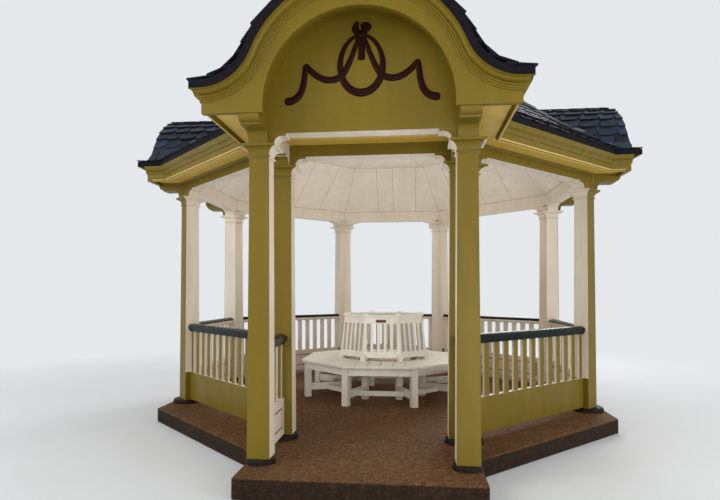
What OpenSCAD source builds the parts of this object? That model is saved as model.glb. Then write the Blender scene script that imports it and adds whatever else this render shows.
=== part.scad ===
// Octagonal timber bandstand with an entrance porch.
// Four ogee cross gables meet an eight-sided tent roof.
// Millimetres, +Z up, the entrance faces -Y.
// The origin is on the ground at the centre of the octagon.

/* [Plan] */
// Distance from the centre to the post line of a straight side
post_line = 2340; // [2200:10:2500]
// Half the length of a straight side between post lines
bay_half = 835; // [800:5:880]
// Distance from the front post line to the porch posts
porch_out = 750; // [650:10:900]
// Half the distance between the two porch posts
porch_half = 798; // [780:2:820]

/* [Plinth] */
// Height of the stone plinth
plinth_h = 155; // [120:5:240]
// How far the plinth reaches past the post line of a straight side
plinth_out = 195; // [180:5:300]
// Half the length of a straight side of the plinth
plinth_half = 1240; // [1150:10:1280]
// Half the width of the porch slab
slab_half = 910; // [900:10:1000]
// How far the porch slab reaches past the porch posts
slab_out = 395; // [300:5:450]

/* [Posts] */
// Height of the round feet under the posts
foot_h = 45; // [30:5:80]
// Diameter of the feet under the eight corner posts
foot_d = 340; // [300:5:350]
// Diameter of the feet under the porch posts
porch_foot_d = 230; // [225:5:280]
// Thickness of a post at its foot
post_w = 180; // [170:2:190]
// Length of each leg of a corner post along its two sides
post_leg = 176; // [164:2:182]
// Share of its foot width that a post keeps at the neck
post_taper = 0.87; // [0.82:0.01:0.95]
// Height of the capital tops above the feet
cap_top = 2430; // [2300:10:2600]
// Height of a capital with its neck bead
cap_h = 99; // [90:1:110]
// How far a capital spreads past the neck of its post
cap_out = 59; // [50:1:62]

/* [Beams] */
// Height of the post heads between capital and beam
head_h = 85; // [75:5:110]
// Height of the beams
beam_h = 160; // [140:5:200]
// Thickness of the beams
beam_w = 144; // [130:2:152]
// Thickness of the sawn brackets under the beams
bracket_t = 140; // [120:2:142]
// Reach of a sawn bracket along the beam
bracket_l = 139; // [130:1:160]
// Length of a sawn bracket where it stands on the capital
bracket_foot = 44; // [30:1:60]
// Length of the level end of a sawn bracket
bracket_flat = 36; // [20:1:50]

/* [Railings] */
// Height of the handrail tops above the feet
rail_top = 909; // [850:1:1000]
// Height of the moulded handrail
hand_h = 86; // [80:2:100]
// Width of the moulded handrail
hand_w = 105; // [96:1:130]
// Height of the boarded panel below the balusters
panel_h = 333; // [280:1:400]
// Thickness of the boarded panel
panel_t = 56; // [50:2:64]
// Width of a baluster board
bal_w = 80; // [70:1:90]
// Thickness of a baluster board
bal_t = 46; // [40:1:50]
// Spacing of the balusters
bal_pitch = 151; // [140:1:170]

/* [Eaves] */
// How far the fascia stands out past the post line of a slanting side
fascia_out = 343; // [330:1:380]
// Half the width of a gable between its fascias
gable_half = 1146; // [1130:2:1170]
// Depth of the fascia boards
fascia_h = 78; // [70:1:100]
// Thickness of the fascia boards
fascia_t = 30; // [25:1:36]
// Height of the crown moulding on top of the fascia
crown_h = 85; // [70:1:95]
// Projection of the crown moulding
crown_out = 52; // [45:1:70]
// Thickness of the soffit and ceiling boards
board_t = 20; // [16:1:26]
// Height of the soffit boards above the foot of the fascia
soffit_up = 33; // [25:1:60]

/* [Gables] */
// How far a gable board stands out past the face of the posts
gable_out = 299; // [280:1:330]
// Width of the round top of a gable outside its lining, under the slates
gable_rim = 82; // [76:1:96]
// Level end of a gable outside its hollow sweep, without its moulding
gable_level = 8.6; // [6:0.2:14]
// Thickness of a gable board
gable_t = 45; // [36:1:55]
// How far a gable board reaches in over the edge of its lining
arch_lip = 48; // [44:1:60]
// Radius of the round lining behind the arch
lining_r = 738; // [732:1:742]
// Depth of the arch centre below the soffit
arch_drop = 38; // [20:1:50]
// Projection of the verge moulding from the gable board
verge_out = 40; // [30:2:50]
// How far the slates pass the verge moulding
slate_out = 50; // [30:2:60]
// Width of the garland on the front gable
garland_w = 1202; // [1100:2:1260]
// Thickness of the garland
garland_t = 16; // [10:1:22]

/* [Roof] */
// Thickness of the roof boards with their slates
roof_t = 55; // [45:1:70]
// How far the slates pass the crown moulding at the eaves
eave_out = 10; // [5:1:16]
// Share of the run from eaves to apex that the flared foot of the tent takes
flare_run = 0.2; // [0.15:0.01:0.3]
// Rise of the tent roof over its flared foot
flare_rise = 310; // [250:10:360]
// Rise of the tent roof from the eaves to the apex
tent_rise = 2048; // [1700:4:2200]
// Half the width of the capping on the hips
hip_half = 80; // [60:5:110]
// Height of the capping on the hips
hip_t = 28; // [18:1:40]

/* [Ceiling] */
// How far the slanting ceiling boards reach in from the post line
ceil_in = 684; // [640:4:760]
// Rise of the slanting ceiling boards
ceil_rise = 637; // [560:1:680]

/* [Bench] */
// Distance from the centre of the bench to its straight front edges
seat_r = 1030; // [960:10:1100]
// Height of the seat above the floor
seat_h = 475; // [400:5:520]
// How far the bench stands behind the centre of the bandstand
bench_y = 60; // [0:10:200]
// Distance from the bench centre to the foot of its backrest
back_r = 560; // [500:10:620]
// Height of the top of the backrest above the floor
back_top = 1040; // [950:10:1120]
// Lean of the backrest in degrees
back_lean = 6.3; // [3:0.1:8]

/* [Hidden] */
$fn = 48;

ochre = "#b8992c";
cream = "#ece2cc";
green = "#123c2c";
slate = "#2a3040";
stone = "#8b8073";

diag_half = (post_line - bay_half) / sqrt(2);
diag_line = (post_line + bay_half) / sqrt(2);
porch_line = post_line + porch_out;
t22 = tan(22.5);

z_foot = plinth_h + foot_h;
z_neck = z_foot + cap_top - cap_h;
z_cap = z_foot + cap_top;
z_beam = z_cap + head_h;
z_soffit = z_beam + beam_h;
z_fascia = z_soffit - 88;
z_crown = z_fascia + fascia_h;
z_eave = z_crown + crown_h;
z_rail = z_foot + rail_top;
z_lining = z_soffit + 7;
z_boards = z_fascia + soffit_up;

neck_w = post_w * post_taper;
neck_leg = post_leg * post_taper;
head_in = (neck_w - beam_w) / 2;
tymp_t = 30;

face_out = neck_w / 2;
board_front = face_out + gable_out;
fascia_line = diag_line + fascia_out;
eave_half = gable_half + crown_out + eave_out;
eave_line = fascia_line + crown_out + eave_out;

// The ogee: a round top of radius gable_r about (0, z_arc), and a hollow
// sweep about sweep_x that leaves it without a break and runs level at the
// eaves. Its radius sweep_r follows from the width of the gable.
arch_r = lining_r - arch_lip;
gable_r = lining_r + gable_rim;
z_arc = z_soffit + 25;
sweep_x = gable_half - gable_level;
arc_rise = z_eave - z_arc;
sweep_r = (pow(sweep_x, 2) + pow(arc_rise, 2) - pow(gable_r, 2))
  / (2 * (gable_r - arc_rise));
turn = asin((arc_rise + sweep_r) / (gable_r + sweep_r));

// Points of half the ogee, from the crown out, moved outwards by off.
function ogee_half(off, n = 12) = concat(
  [for (i = [0:n]) let (a = 90 - (90 - turn) * i / n)
    [(gable_r + off) * cos(a), z_arc + (gable_r + off) * sin(a)]],
  [for (i = [1:8]) let (a = 180 + turn + (90 - turn) * i / 8)
    [sweep_x + (sweep_r - off) * cos(a),
     z_eave + sweep_r + (sweep_r - off) * sin(a)]]);
function flip(p) = [for (i = [len(p) - 1:-1:0]) [-p[i][0], p[i][1]]];
// The whole ogee from left to right, with its level ends at x = +-end.
function ogee(off, end) = let (h = ogee_half(off))
  concat([[-end, z_eave + off]], flip(h),
    [for (i = [1:len(h) - 1]) h[i]], [[end, z_eave + off]]);

// Side k of the octagon: 0 is the front, counted to the right.
// Across a side, x runs along it and y points inwards from the post line.
function line_of(k) = k % 2 == 0 ? post_line : diag_line;
function half_of(k) = k % 2 == 0 ? bay_half : diag_half;
module side(k) {
  rotate([0, 0, 45 * k]) translate([0, -line_of(k), 0]) children();
}

// Places the part of a straight gable: 0 front, 1 right, 2 back, 3 left.
// Its y = 0 is the post line that carries it.
module gable(g) {
  rotate([0, 0, 90 * g])
    translate([0, g == 0 ? -porch_line : -post_line, 0]) children();
}

// A prism from an outline in x and z, drawn forward from y to y + d.
module prism_y(y, d) {
  translate([0, y + d, 0]) rotate([90, 0, 0])
    linear_extrude(height = d) children();
}

// A solid through outlines of equal length, one above the other.
module loft(rings, zs) {
  n = len(rings[0]);
  m = len(rings);
  pts = [for (i = [0:m - 1]) for (p = rings[i]) [p[0], p[1], zs[i]]];
  sides = [for (i = [0:m - 2]) for (j = [0:n - 1])
    [i * n + j, i * n + (j + 1) % n, (i + 1) * n + (j + 1) % n,
     (i + 1) * n + j]];
  polyhedron(points = pts, faces = concat(
    [for (f = sides) [f[3], f[2], f[1], f[0]]], [[for (j = [0:n - 1]) j]],
    [[for (j = [n - 1:-1:0]) (m - 1) * n + j]]), convexity = 6);
}

// A moulding: a profile of [out, up] points swept along a plan line with
// mitred corners. The profile's out side lies to the right of the line.
function unit(v) = v / norm(v);
function right_of(v) = [v[1], -v[0]];
module moulding(path, profile) {
  m = len(path);
  n = len(profile);
  dirs = [for (i = [0:m - 2]) unit(path[i + 1] - path[i])];
  miter = [for (i = [0:m - 1])
    i == 0 ? right_of(dirs[0]) :
    i == m - 1 ? right_of(dirs[m - 2]) :
    let (s = right_of(dirs[i - 1]) + right_of(dirs[i]))
      s * 2 / (s * s)];
  pts = [for (i = [0:m - 1]) for (q = profile)
    [path[i][0] + miter[i][0] * q[0], path[i][1] + miter[i][1] * q[0],
     q[1]]];
  polyhedron(points = pts, faces = concat(
    [for (i = [0:m - 2]) for (j = [0:n - 1])
      [i * n + j, i * n + (j + 1) % n, (i + 1) * n + (j + 1) % n,
       (i + 1) * n + j]],
    [[for (j = [n - 1:-1:0]) j]],
    [[for (j = [0:n - 1]) (m - 1) * n + j]]), convexity = 6);
}

// Plan of a corner post about the meeting of its two post lines: two legs
// of length leg and thickness w, mitred at the corner, grown by g.
// The leg along the straight side runs along -x.
function corner_plan(leg, w, g = 0) = let (
    o = w / 2 + g,
    c = o * t22,
    l = leg + g - w / 2 * t22,
    dx = cos(45),
    dy = sin(45))
  [[-l, -o], [c, -o],
   [l * dx + o * dx, l * dy - o * dy], [l * dx - o * dx, l * dy + o * dy],
   [-c, o], [-l, o]];
function square_plan(w, g = 0) = let (o = w / 2 + g)
  [[-o, -o], [o, -o], [o, o], [-o, o]];

// Puts a child at each corner post. The leg along -x follows the straight
// side, so every second post is mirrored.
module at_corners() {
  for (q = [0:3]) rotate([0, 0, 90 * q]) {
    translate([bay_half, -post_line, 0]) children();
    mirror([1, 0, 0]) translate([bay_half, -post_line, 0]) children();
  }
}
module at_porch_posts() {
  for (s = [-1, 1]) translate([s * porch_half, -porch_line, 0]) children();
}

module plinth() {
  far = post_line + plinth_out;
  front = porch_line + slab_out;
  run = far + plinth_half - slab_half;
  color(stone) linear_extrude(height = plinth_h) polygon([
    [-slab_half, -front], [slab_half, -front], [slab_half, -run],
    [far, -plinth_half], [far, plinth_half], [plinth_half, far],
    [-plinth_half, far], [-far, plinth_half], [-far, -plinth_half],
    [-slab_half, -run]]);
}

module foot(d) {
  translate([0, 0, plinth_h]) rotate_extrude()
    polygon([[0, 0], [d / 2, 0], [d / 2, foot_h - 18],
      [d / 2 - 14, foot_h], [0, foot_h]]);
}

module post_feet() {
  color("#3a332e") {
    at_corners() foot(foot_d);
    at_porch_posts() foot(porch_foot_d);
  }
}

module porch_posts() {
  color(ochre) at_porch_posts()
    loft([square_plan(post_w), square_plan(neck_w)], [z_foot, z_neck]);
}

module corner_posts() {
  color(ochre) at_corners()
    loft([corner_plan(post_leg, post_w), corner_plan(neck_leg, neck_w)],
      [z_foot, z_neck]);
}

// Capital: neck bead, hollow flare and flat top, with the post head above.
// Each point is [height above the neck, growth past the neck].
bead = 12;
top_slab = 20;
cap_steps = concat(
  [[0, 0], [0, 4], [4, bead], [bead, bead], [bead + 4, 2]],
  [for (i = [0:5]) let (a = 90 * i / 5)
    [bead + 10 + (cap_h - top_slab - bead - 10) * sin(a),
     2 + (cap_out - 6) * (1 - cos(a))]],
  [[cap_h - top_slab + 1, cap_out], [cap_h, cap_out],
   [cap_h + 0.01, -head_in], [cap_h + head_h, -head_in]]);

module capitals() {
  zs = [for (s = cap_steps) z_neck + s[0]];
  color(ochre) {
    at_corners()
      loft([for (s = cap_steps) corner_plan(neck_leg, neck_w, s[1])], zs);
    at_porch_posts()
      loft([for (s = cap_steps) square_plan(neck_w, s[1])], zs);
  }
}

// A beam on side k, mitred into its neighbours.
module ring_beam(k) {
  o = beam_w / 2;
  h = half_of(k);
  side(k) translate([0, 0, z_beam]) linear_extrude(height = beam_h)
    polygon([[-h - o * t22, -o], [h + o * t22, -o],
      [h - o * t22, o], [-h + o * t22, o]]);
}

module beams_straight() {
  color(ochre) {
    for (k = [0:2:6]) ring_beam(k);
    translate([-porch_half - beam_w / 2, -porch_line - beam_w / 2, z_beam])
      cube([2 * porch_half + beam_w, beam_w, beam_h]);
  }
}

module beams_slanting() {
  color(ochre) for (k = [1:2:7]) ring_beam(k);
}

module porch_side_beams() {
  color(ochre) for (s = [-1, 1])
    translate([s * porch_half - beam_w / 2, -porch_line + beam_w / 2,
      z_beam]) cube([beam_w, porch_out - beam_w, beam_h]);
}

// A sawn bracket between capital and beam, in the corner at x = 0: a
// hollow that springs from the capital and a small step under the beam.
module bracket() {
  step = 18;
  hollow = bracket_l - bracket_flat - bracket_foot;
  prism_y(-bracket_t / 2, bracket_t) polygon(concat(
    [[0, z_beam], [0, z_cap]],
    [for (i = [0:8]) let (a = 90 * i / 8)
      [bracket_foot + hollow * (1 - cos(a)),
       z_cap + (head_h - step) * sin(a)]],
    [[bracket_l, z_beam - step], [bracket_l, z_beam]]));
}

// Clear half length between the post heads on side k.
function head_half(k) =
  half_of(k) - neck_leg + neck_w / 2 * t22 + head_in;

module sawn_brackets() {
  color(cream) {
    for (k = [0:7]) side(k) for (m = [0, 1]) mirror([m, 0, 0])
      translate([-head_half(k), 0, 0]) bracket();
    for (m = [0, 1]) mirror([m, 0, 0])
      translate([-porch_half + beam_w / 2, -porch_line, 0]) bracket();
    for (s = [-1, 1]) translate([s * porch_half, 0, 0]) {
      translate([0, -porch_line + beam_w / 2, 0])
        rotate([0, 0, 90]) bracket();
      translate([0, -post_line - beam_w / 2, 0])
        rotate([0, 0, -90]) bracket();
    }
  }
}

// A console under a gable board: it leaves the capital in a hollow, runs
// level and ends in a round nose. Outline in [out, up].
console_w = 153;
module console() {
  reach = board_front - 11;
  level = z_cap + 90;
  root = beam_w / 2;
  nose = [for (i = [0:6]) let (a = -90 + 90 * i / 6)
    [reach - 50 + 50 * cos(a), level + 14 + 50 + 50 * sin(a)]];
  cove = [for (i = [0:7]) let (a = 90 * i / 7)
    [root + 94 - 54 * cos(a), z_cap + 90 * sin(a)]];
  translate([-console_w / 2, 0, 0]) rotate([90, 0, 90])
    linear_extrude(height = console_w) mirror([1, 0]) polygon(concat(
      [[root, z_boards], [root, z_cap]], cove,
      [[reach - 55, level], [reach - 50, level + 14]], nose,
      [[reach, z_fascia], [board_front - gable_t, z_fascia],
       [board_front - gable_t, z_boards]]));
}

module gable_consoles() {
  color(ochre) for (g = [0:3]) gable(g) {
    x = g == 0 ? porch_half : porch_half - 11;
    for (s = [-1, 1]) translate([s * x, 0, 0]) console();
  }
}

// Share of its foot size that a post keeps at height z above the feet.
function taper_at(z) = 1 - (1 - post_taper) * z / (cap_top - cap_h);
// Half the free length of side k between its posts at height z.
function jamb(k, z) =
  half_of(k) - (post_leg - post_w * t22 / 2) * taper_at(z);
// The same for the sides of the porch.
function porch_jamb(z) = (porch_out - post_w * taper_at(z)) / 2;

// Railing: boarded panel with a sunk line round its inner field, flat
// balusters and a wider board at each post, all below the handrail. The
// free half length is lo at the feet and hi at the handrail.
stile_w = 52;
module railing(lo, hi) {
  zb = z_foot + 9;
  zs = z_foot + panel_h;
  zt = z_rail - hand_h;
  mid = lo + (hi - lo) * panel_h / rail_top;
  difference() {
    prism_y(-panel_t / 2, panel_t)
      polygon([[-lo, zb], [lo, zb], [mid, zs], [-mid, zs]]);
    difference() {
      field_box(lo, zb, zs, 72, 8);
      field_box(lo, zb, zs, 86, 10);
    }
  }
  for (m = [0, 1]) mirror([m, 0, 0]) prism_y(-bal_t / 2, bal_t)
    polygon([[mid - stile_w, zs], [mid, zs], [hi, zt], [mid - stile_w, zt]]);
  run = 2 * mid - stile_w;
  n = round(run / bal_pitch);
  for (i = [1:n - 1]) translate([i * run / n - run / 2 - bal_w / 2,
    -bal_t / 2, zs]) cube([bal_w, bal_t, zt - zs]);
}

// The field of a panel, margin in from its edges and deep into its face.
module field_box(lo, low, high, margin, deep) {
  translate([margin - lo, panel_t / 2 - deep, low + margin])
    cube([2 * (lo - margin), deep + 1, high - low - 2 * margin]);
}

module side_railing(k) {
  color(cream) side(k) railing(jamb(k, 0), jamb(k, rail_top - hand_h));
}

module railings_porch() {
  color(cream) for (s = [-1, 1])
    translate([s * porch_half, -post_line - porch_out / 2, 0])
      rotate([0, 0, s * 90])
        railing(porch_jamb(0), porch_jamb(rail_top - hand_h));
}

module handrail(half) {
  r = hand_w / 2;
  translate([-half, 0, z_rail - hand_h]) rotate([90, 0, 90])
    linear_extrude(height = 2 * half) union() {
      translate([-r, 24]) square([2 * r, hand_h - 24 - 26]);
      translate([-r + 14, 0]) square([2 * r - 28, 30]);
      intersection() {
        translate([0, hand_h - 66]) circle(r = 66);
        translate([-r, hand_h - 30]) square([2 * r, 40]);
      }
    }
}

module handrails() {
  color(green) {
    for (k = [1:7]) side(k) handrail(jamb(k, rail_top - hand_h));
    for (s = [-1, 1]) translate([s * porch_half,
      -post_line - porch_out / 2, 0]) rotate([0, 0, 90])
      handrail(porch_jamb(rail_top - hand_h));
  }
}

// Outline of a gable board with the arch sawn out of it.
module gable_outline() {
  difference() {
    polygon(concat(
      [[-gable_half, z_fascia], [-gable_half, z_crown]],
      ogee(0, gable_half + crown_out),
      [[gable_half, z_crown], [gable_half, z_fascia]]));
    translate([0, z_soffit - arch_drop]) circle(r = arch_r, $fn = 96);
    translate([-arch_r, z_fascia - 1])
      square([2 * arch_r, z_soffit - arch_drop - z_fascia + 1]);
  }
}

module gable_board(g) {
  color(ochre) gable(g) prism_y(-board_front, gable_t) gable_outline();
}

// A strip that follows the ogee between two offsets.
module ogee_strip(a, b, end) {
  polygon(concat(ogee(a, end), [[end, z_eave + b]],
    let (q = ogee(b, end)) [for (i = [len(q) - 2:-1:0]) q[i]]));
}

// A moulding that follows the ogee on the face of a gable board. Its
// profile points are [offset from the ogee, projection].
module ogee_moulding(profile, end) {
  n = len(profile);
  lines = [for (q = profile) ogee(q[0], end)];
  m = len(lines[0]);
  pts = [for (j = [0:m - 1]) for (i = [0:n - 1])
    [lines[i][j][0], -board_front - profile[i][1], lines[i][j][1]]];
  polyhedron(points = pts, faces = concat(
    [for (j = [0:m - 2]) for (i = [0:n - 1])
      [j * n + i, (j + 1) * n + i, (j + 1) * n + (i + 1) % n,
       j * n + (i + 1) % n]],
    [[for (i = [0:n - 1]) i]],
    [[for (i = [n - 1:-1:0]) (m - 1) * n + i]]), convexity = 6);
}
verge_profile = concat([[0, 0], [0, verge_out], [-10, verge_out]],
  [for (i = [0:6]) let (t = i / 6)
    [-14 - 46 * (t - sin(360 * t) / 13),
     verge_out - 4 - (verge_out - 14) * (t + sin(360 * t) / 13)]],
  [[-66, 10], [-66, 6], [-77, 6], [-77, 0]]);
function bead(x) = [for (a = [60, 120]) [x + 6 * cos(a), 6 * sin(a)]];
bead_profile = concat([[-84, 0]], bead(-90), [[-96, 2]], bead(-102),
  [[-108, 0]]);

module verge_mouldings() {
  color(ochre) for (g = [0:3]) gable(g) {
    ogee_moulding(verge_profile, gable_half + crown_out);
    ogee_moulding(bead_profile, gable_half);
  }
}

module tympana() {
  color(ochre) for (g = [0:3]) gable(g)
    prism_y(-beam_w / 2, tymp_t) intersection() {
      translate([0, z_lining]) circle(r = lining_r, $fn = 96);
      translate([-lining_r, z_soffit]) square([2 * lining_r, lining_r + 20]);
    }
}

module arch_linings() {
  depth = board_front - gable_t - beam_w / 2;
  color(ochre) for (g = [0:3]) gable(g)
    prism_y(-board_front + gable_t, depth) difference() {
      translate([0, z_lining]) circle(r = lining_r + board_t, $fn = 96);
      translate([0, z_lining]) circle(r = lining_r, $fn = 96);
      translate([-2 * lining_r, z_boards + board_t - 2 * lining_r])
        square([4 * lining_r, 2 * lining_r]);
    }
}

// The eaves between two gables: fascia below, crown moulding above.
crown = [for (i = [0:8]) let (t = i / 8)
  [8 + (crown_out - 16) * (t - sin(360 * t) / 13),
   z_crown + 6 + (crown_h - 16) * (t + sin(360 * t) / 13)]];
cornice_profile = concat(
  [[-fascia_t, z_eave], [-fascia_t, z_fascia], [0, z_fascia], [0, z_crown],
   [8, z_crown]], crown,
  [[crown_out, z_eave - 10], [crown_out, z_eave]]);
fascia_turn = fascia_line * sqrt(2) - gable_half;

// q counts the corners of the roof: 0 front right, then to the left.
module cornice(q) {
  front = porch_line + board_front - gable_t;
  plain = post_line + board_front - gable_t;
  first = q == 0 ? front : plain;
  last = q == 3 ? front : plain;
  color(ochre) rotate([0, 0, 90 * q]) moulding([
    [gable_half, -first], [gable_half, -fascia_turn],
    [fascia_turn, -gable_half], [last, -gable_half]], cornice_profile);
}
module cornice_front() {
  cornice(0);
  cornice(3);
}
module cornice_back() {
  cornice(1);
  cornice(2);
}

soffit_half = gable_half - fascia_t;
soffit_turn = (fascia_line - fascia_t) * sqrt(2) - soffit_half;
// Soffit boards from the beams out to the fascias, with the porch ceiling.
// They leave the recesses behind the four arches open.
module soffits() {
  far = post_line + board_front - gable_t;
  front = porch_line + board_front - gable_t;
  recess = board_front - gable_t - beam_w / 2;
  h = soffit_half;
  t = soffit_turn;
  o = beam_w / 2;
  color(cream) translate([0, 0, z_boards]) linear_extrude(height = board_t)
    difference() {
      polygon([[-h, -front], [h, -front], [h, -t], [t, -h], [far, -h],
        [far, h], [t, h], [h, t], [h, far], [-h, far], [-h, t], [-t, h],
        [-far, h], [-far, -h], [-t, -h], [-h, -t]]);
      polygon([for (q = [0:3]) let (c = cos(90 * q), s = sin(90 * q))
        for (x = [-bay_half - o * t22, bay_half + o * t22])
          [x * c + (post_line + o) * s, x * s - (post_line + o) * c]]);
      translate([-porch_half - o, -porch_line - o])
        square([2 * porch_half + beam_w, beam_w]);
      for (s = [-1, 1]) translate([s * porch_half - o, -porch_line])
        square([beam_w, porch_out]);
      translate([-lining_r, -front - 1]) square([2 * lining_r, recess + 1]);
      for (g = [1:3]) rotate(90 * g)
        translate([-lining_r, -far - 1]) square([2 * lining_r, recess + 2]);
    }
}

// Slanting ceiling boards over side k, from the beam up to the flat.
module ceiling_slope(k) {
  o = beam_w / 2;
  d = board_t;
  back = o - d * (ceil_in - o) / ceil_rise;
  x = [for (y = [back, o, ceil_in]) half_of(k) - y * t22];
  top = z_soffit + ceil_rise;
  side(k) polyhedron(points = [
      [-x[0], back, z_soffit], [x[0], back, z_soffit],
      [-x[1], o, z_soffit], [x[1], o, z_soffit],
      [-x[2], ceil_in, top], [x[2], ceil_in, top],
      [-x[2], ceil_in, top + d], [x[2], ceil_in, top + d]],
    faces = [[0, 1, 3, 2], [2, 3, 5, 4], [4, 5, 7, 6], [6, 7, 1, 0],
      [0, 2, 4, 6], [1, 7, 5, 3]]);
}

module ceiling_straight() {
  color(cream) for (k = [0:2:6]) ceiling_slope(k);
}
module ceiling_slanting() {
  color(cream) for (k = [1:2:7]) ceiling_slope(k);
}
module ceiling_centre() {
  a = post_line - ceil_in;
  h = bay_half - ceil_in * t22;
  color(cream) translate([0, 0, z_soffit + ceil_rise])
    linear_extrude(height = board_t) polygon([for (q = [0:3])
      let (c = cos(90 * q), s = sin(90 * q))
      for (p = [[-h, -a], [h, -a]])
        [p[0] * c - p[1] * s, p[0] * s + p[1] * c]]);
}

// Tent roof with a flatter foot at the eaves: rings that shrink towards
// the apex. Each ring is [share of the run left, height].
tent_out = eave_line - diag_line;
tent_rings = [[1, z_eave], [1 - flare_run, z_eave + flare_rise],
  [0, z_eave + tent_rise]];

// Corner of the eaves between sides k - 1 and k, seen from side 0 or 1.
eave_corner = post_line + tent_out;
eave_bay = bay_half + tent_out * t22;
function tent_corners(f) = [for (q = [0:3])
  let (c = cos(90 * q), s = sin(90 * q)) for (m = [-1, 1])
    let (x = m * eave_bay * f, y = -eave_corner * f)
      [x * c - y * s, x * s + y * c]];

// One side of the tent, a shell of even height roof_t.
module tent_side(k) {
  a = tent_corners(1);
  b = tent_corners(1 - flare_run);
  i = k;
  j = (k + 1) % 8;
  z = [for (r = tent_rings) r[1]];
  t = roof_t;
  polyhedron(points = [
      [a[i][0], a[i][1], z[0]], [a[j][0], a[j][1], z[0]],
      [b[i][0], b[i][1], z[1]], [b[j][0], b[j][1], z[1]], [0, 0, z[2]],
      [a[i][0], a[i][1], z[0] + t], [a[j][0], a[j][1], z[0] + t],
      [b[i][0], b[i][1], z[1] + t], [b[j][0], b[j][1], z[1] + t],
      [0, 0, z[2] + t]],
    faces = [[0, 1, 3, 2], [2, 3, 4], [5, 7, 8, 6], [7, 9, 8],
      [0, 5, 6, 1], [0, 2, 7, 5], [2, 4, 9, 7], [1, 6, 8, 3],
      [3, 8, 9, 4]]);
}

// Room that the tent leaves free under each gable roof: the recess behind
// the arch and everything from the back of the gable board on.
module gable_room() {
  clear = lining_r + board_t;
  behind = post_line - beam_w / 2 + tymp_t;
  board = post_line + board_front - gable_t;
  for (g = [0:3]) rotate([0, 0, 90 * g]) {
    translate([-clear, -board - 400, z_soffit])
      cube([2 * clear, board + 400 - behind, 1000]);
    translate([-eave_half - 50, -board - 400, z_soffit])
      cube([2 * eave_half + 100, 400, 1000]);
  }
}

module tent_roof_straight() {
  color(slate) difference() {
    for (k = [0:2:6]) tent_side(k);
    gable_room();
  }
}
module tent_roof_slanting() {
  color(slate) difference() {
    for (k = [1:2:7]) tent_side(k);
    gable_room();
  }
}

// The tent as one solid whose top lies lift above the slates.
module tent_body(lift) {
  rings = [for (r = tent_rings) each [for (p = tent_corners(r[0]))
    [p[0], p[1], r[1] + roof_t + lift]]];
  polyhedron(points = concat(
    [for (p = tent_corners(1)) [p[0], p[1], z_eave - 300]], rings),
    faces = concat([[for (i = [0:7]) i]],
      [for (m = [0:1]) for (i = [0:7]) let (j = (i + 1) % 8)
        [m * 8 + i, m * 8 + 8 + i, m * 8 + 8 + j, m * 8 + j]],
      [for (i = [0:7]) let (j = (i + 1) % 8) [16 + i, 24, 16 + j]]));
}

// Everything under the outer face of a gable roof.
module gable_body(g, lift) {
  gable(g) prism_y(-board_front - 200, post_line + board_front) polygon(
    concat([[-eave_half, z_eave - 300]], ogee(roof_t + lift, eave_half),
      [[eave_half, z_eave - 300]]));
}

// Capping along the eight hips, from the gable roofs up to the apex.
module hip_capping() {
  ang = atan(eave_bay / eave_corner);
  long = (1 - flare_run - 0.035) * eave_corner / cos(ang);
  color(slate) difference() {
    intersection() {
      tent_body(hip_t);
      for (q = [0:3]) for (m = [-1, 1]) rotate([0, 0, 90 * q + m * ang])
        translate([-hip_half, -long, z_eave])
          cube([2 * hip_half, long, tent_rise + 200]);
    }
    tent_body(0);
    for (g = [0:3]) gable_body(g, 0.3);
  }
}

module gable_roof(g) {
  reach = board_front + verge_out + slate_out;
  line = g == 0 ? porch_line : post_line;
  color(slate) difference() {
    gable(g) prism_y(-reach, line + reach - 1300)
      ogee_strip(roof_t, 0, eave_half);
    difference() {
      tent_body(0);
      gable_room();
    }
  }
}

// Garland on the front tympanum: a bow, an oval wreath and two swags.
// Each band is drawn between two edges that follow a smooth line.
function mixp(a, b, t) = a * (1 - t) + b * t;
function bez(p, t) = let (
    a = mixp(p[0], p[1], t), b = mixp(p[1], p[2], t), c = mixp(p[2], p[3], t),
    d = mixp(a, b, t), e = mixp(b, c, t)) mixp(d, e, t);
function bez_dir(p, t) = unit((p[1] - p[0]) * pow(1 - t, 2)
  + (p[2] - p[1]) * 2 * t * (1 - t) + (p[3] - p[2]) * t * t);
module band(p, w0, w1, n = 10) {
  edge = [for (i = [0:n]) let (t = i / n, d = bez_dir(p, t),
    w = (w0 + (w1 - w0) * t) / 2) [bez(p, t), [-d[1], d[0]] * w]];
  polygon(concat([for (e = edge) e[0] + e[1]],
    [for (i = [n:-1:0]) edge[i][0] - edge[i][1]]));
}
function oval(rx, rz, n = 40) =
  [for (i = [0:n - 1]) [rx * cos(360 * i / n), rz * sin(360 * i / n)]];
// It is drawn 1202 wide and then takes its real width.
module garland() {
  color("#4a1a1c") gable(0) prism_y(-beam_w / 2 - garland_t, garland_t)
    translate([0, z_soffit]) scale(garland_w / 1202) {
      translate([0, 341]) difference() {
        polygon(oval(176, 230));
        translate([0, 6]) polygon(oval(142, 188));
      }
      translate([0, 606]) circle(r = 30, $fn = 24);
      for (m = [0, 1]) mirror([m, 0]) {
        band([[10, 612], [40, 640], [60, 690], [88, 672]], 26, 34);
        band([[88, 672], [100, 640], [60, 620], [10, 600]], 34, 24);
        band([[14, 590], [60, 530], [95, 400], [112, 300]], 34, 26);
      }
      band([[0, 585], [-8, 520], [6, 440], [0, 380]], 40, 56);
      for (m = [0, 1]) mirror([m, 0]) {
        band([[138, 250], [220, 222], [320, 235], [418, 356]], 42, 46, 8);
        translate([424, 352]) circle(r = 25, $fn = 24);
        band([[430, 350], [476, 290], [436, 96], [575, 88]], 46, 50, 12);
        translate([575, 88]) circle(r = 26, $fn = 24);
      }
    }
}

seat_t = 30;
module oct(r) {
  circle(r = r / cos(22.5), $fn = 8);
}
module bench_at() {
  translate([0, bench_y, plinth_h]) children();
}
seat_in = back_r - 40;

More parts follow.
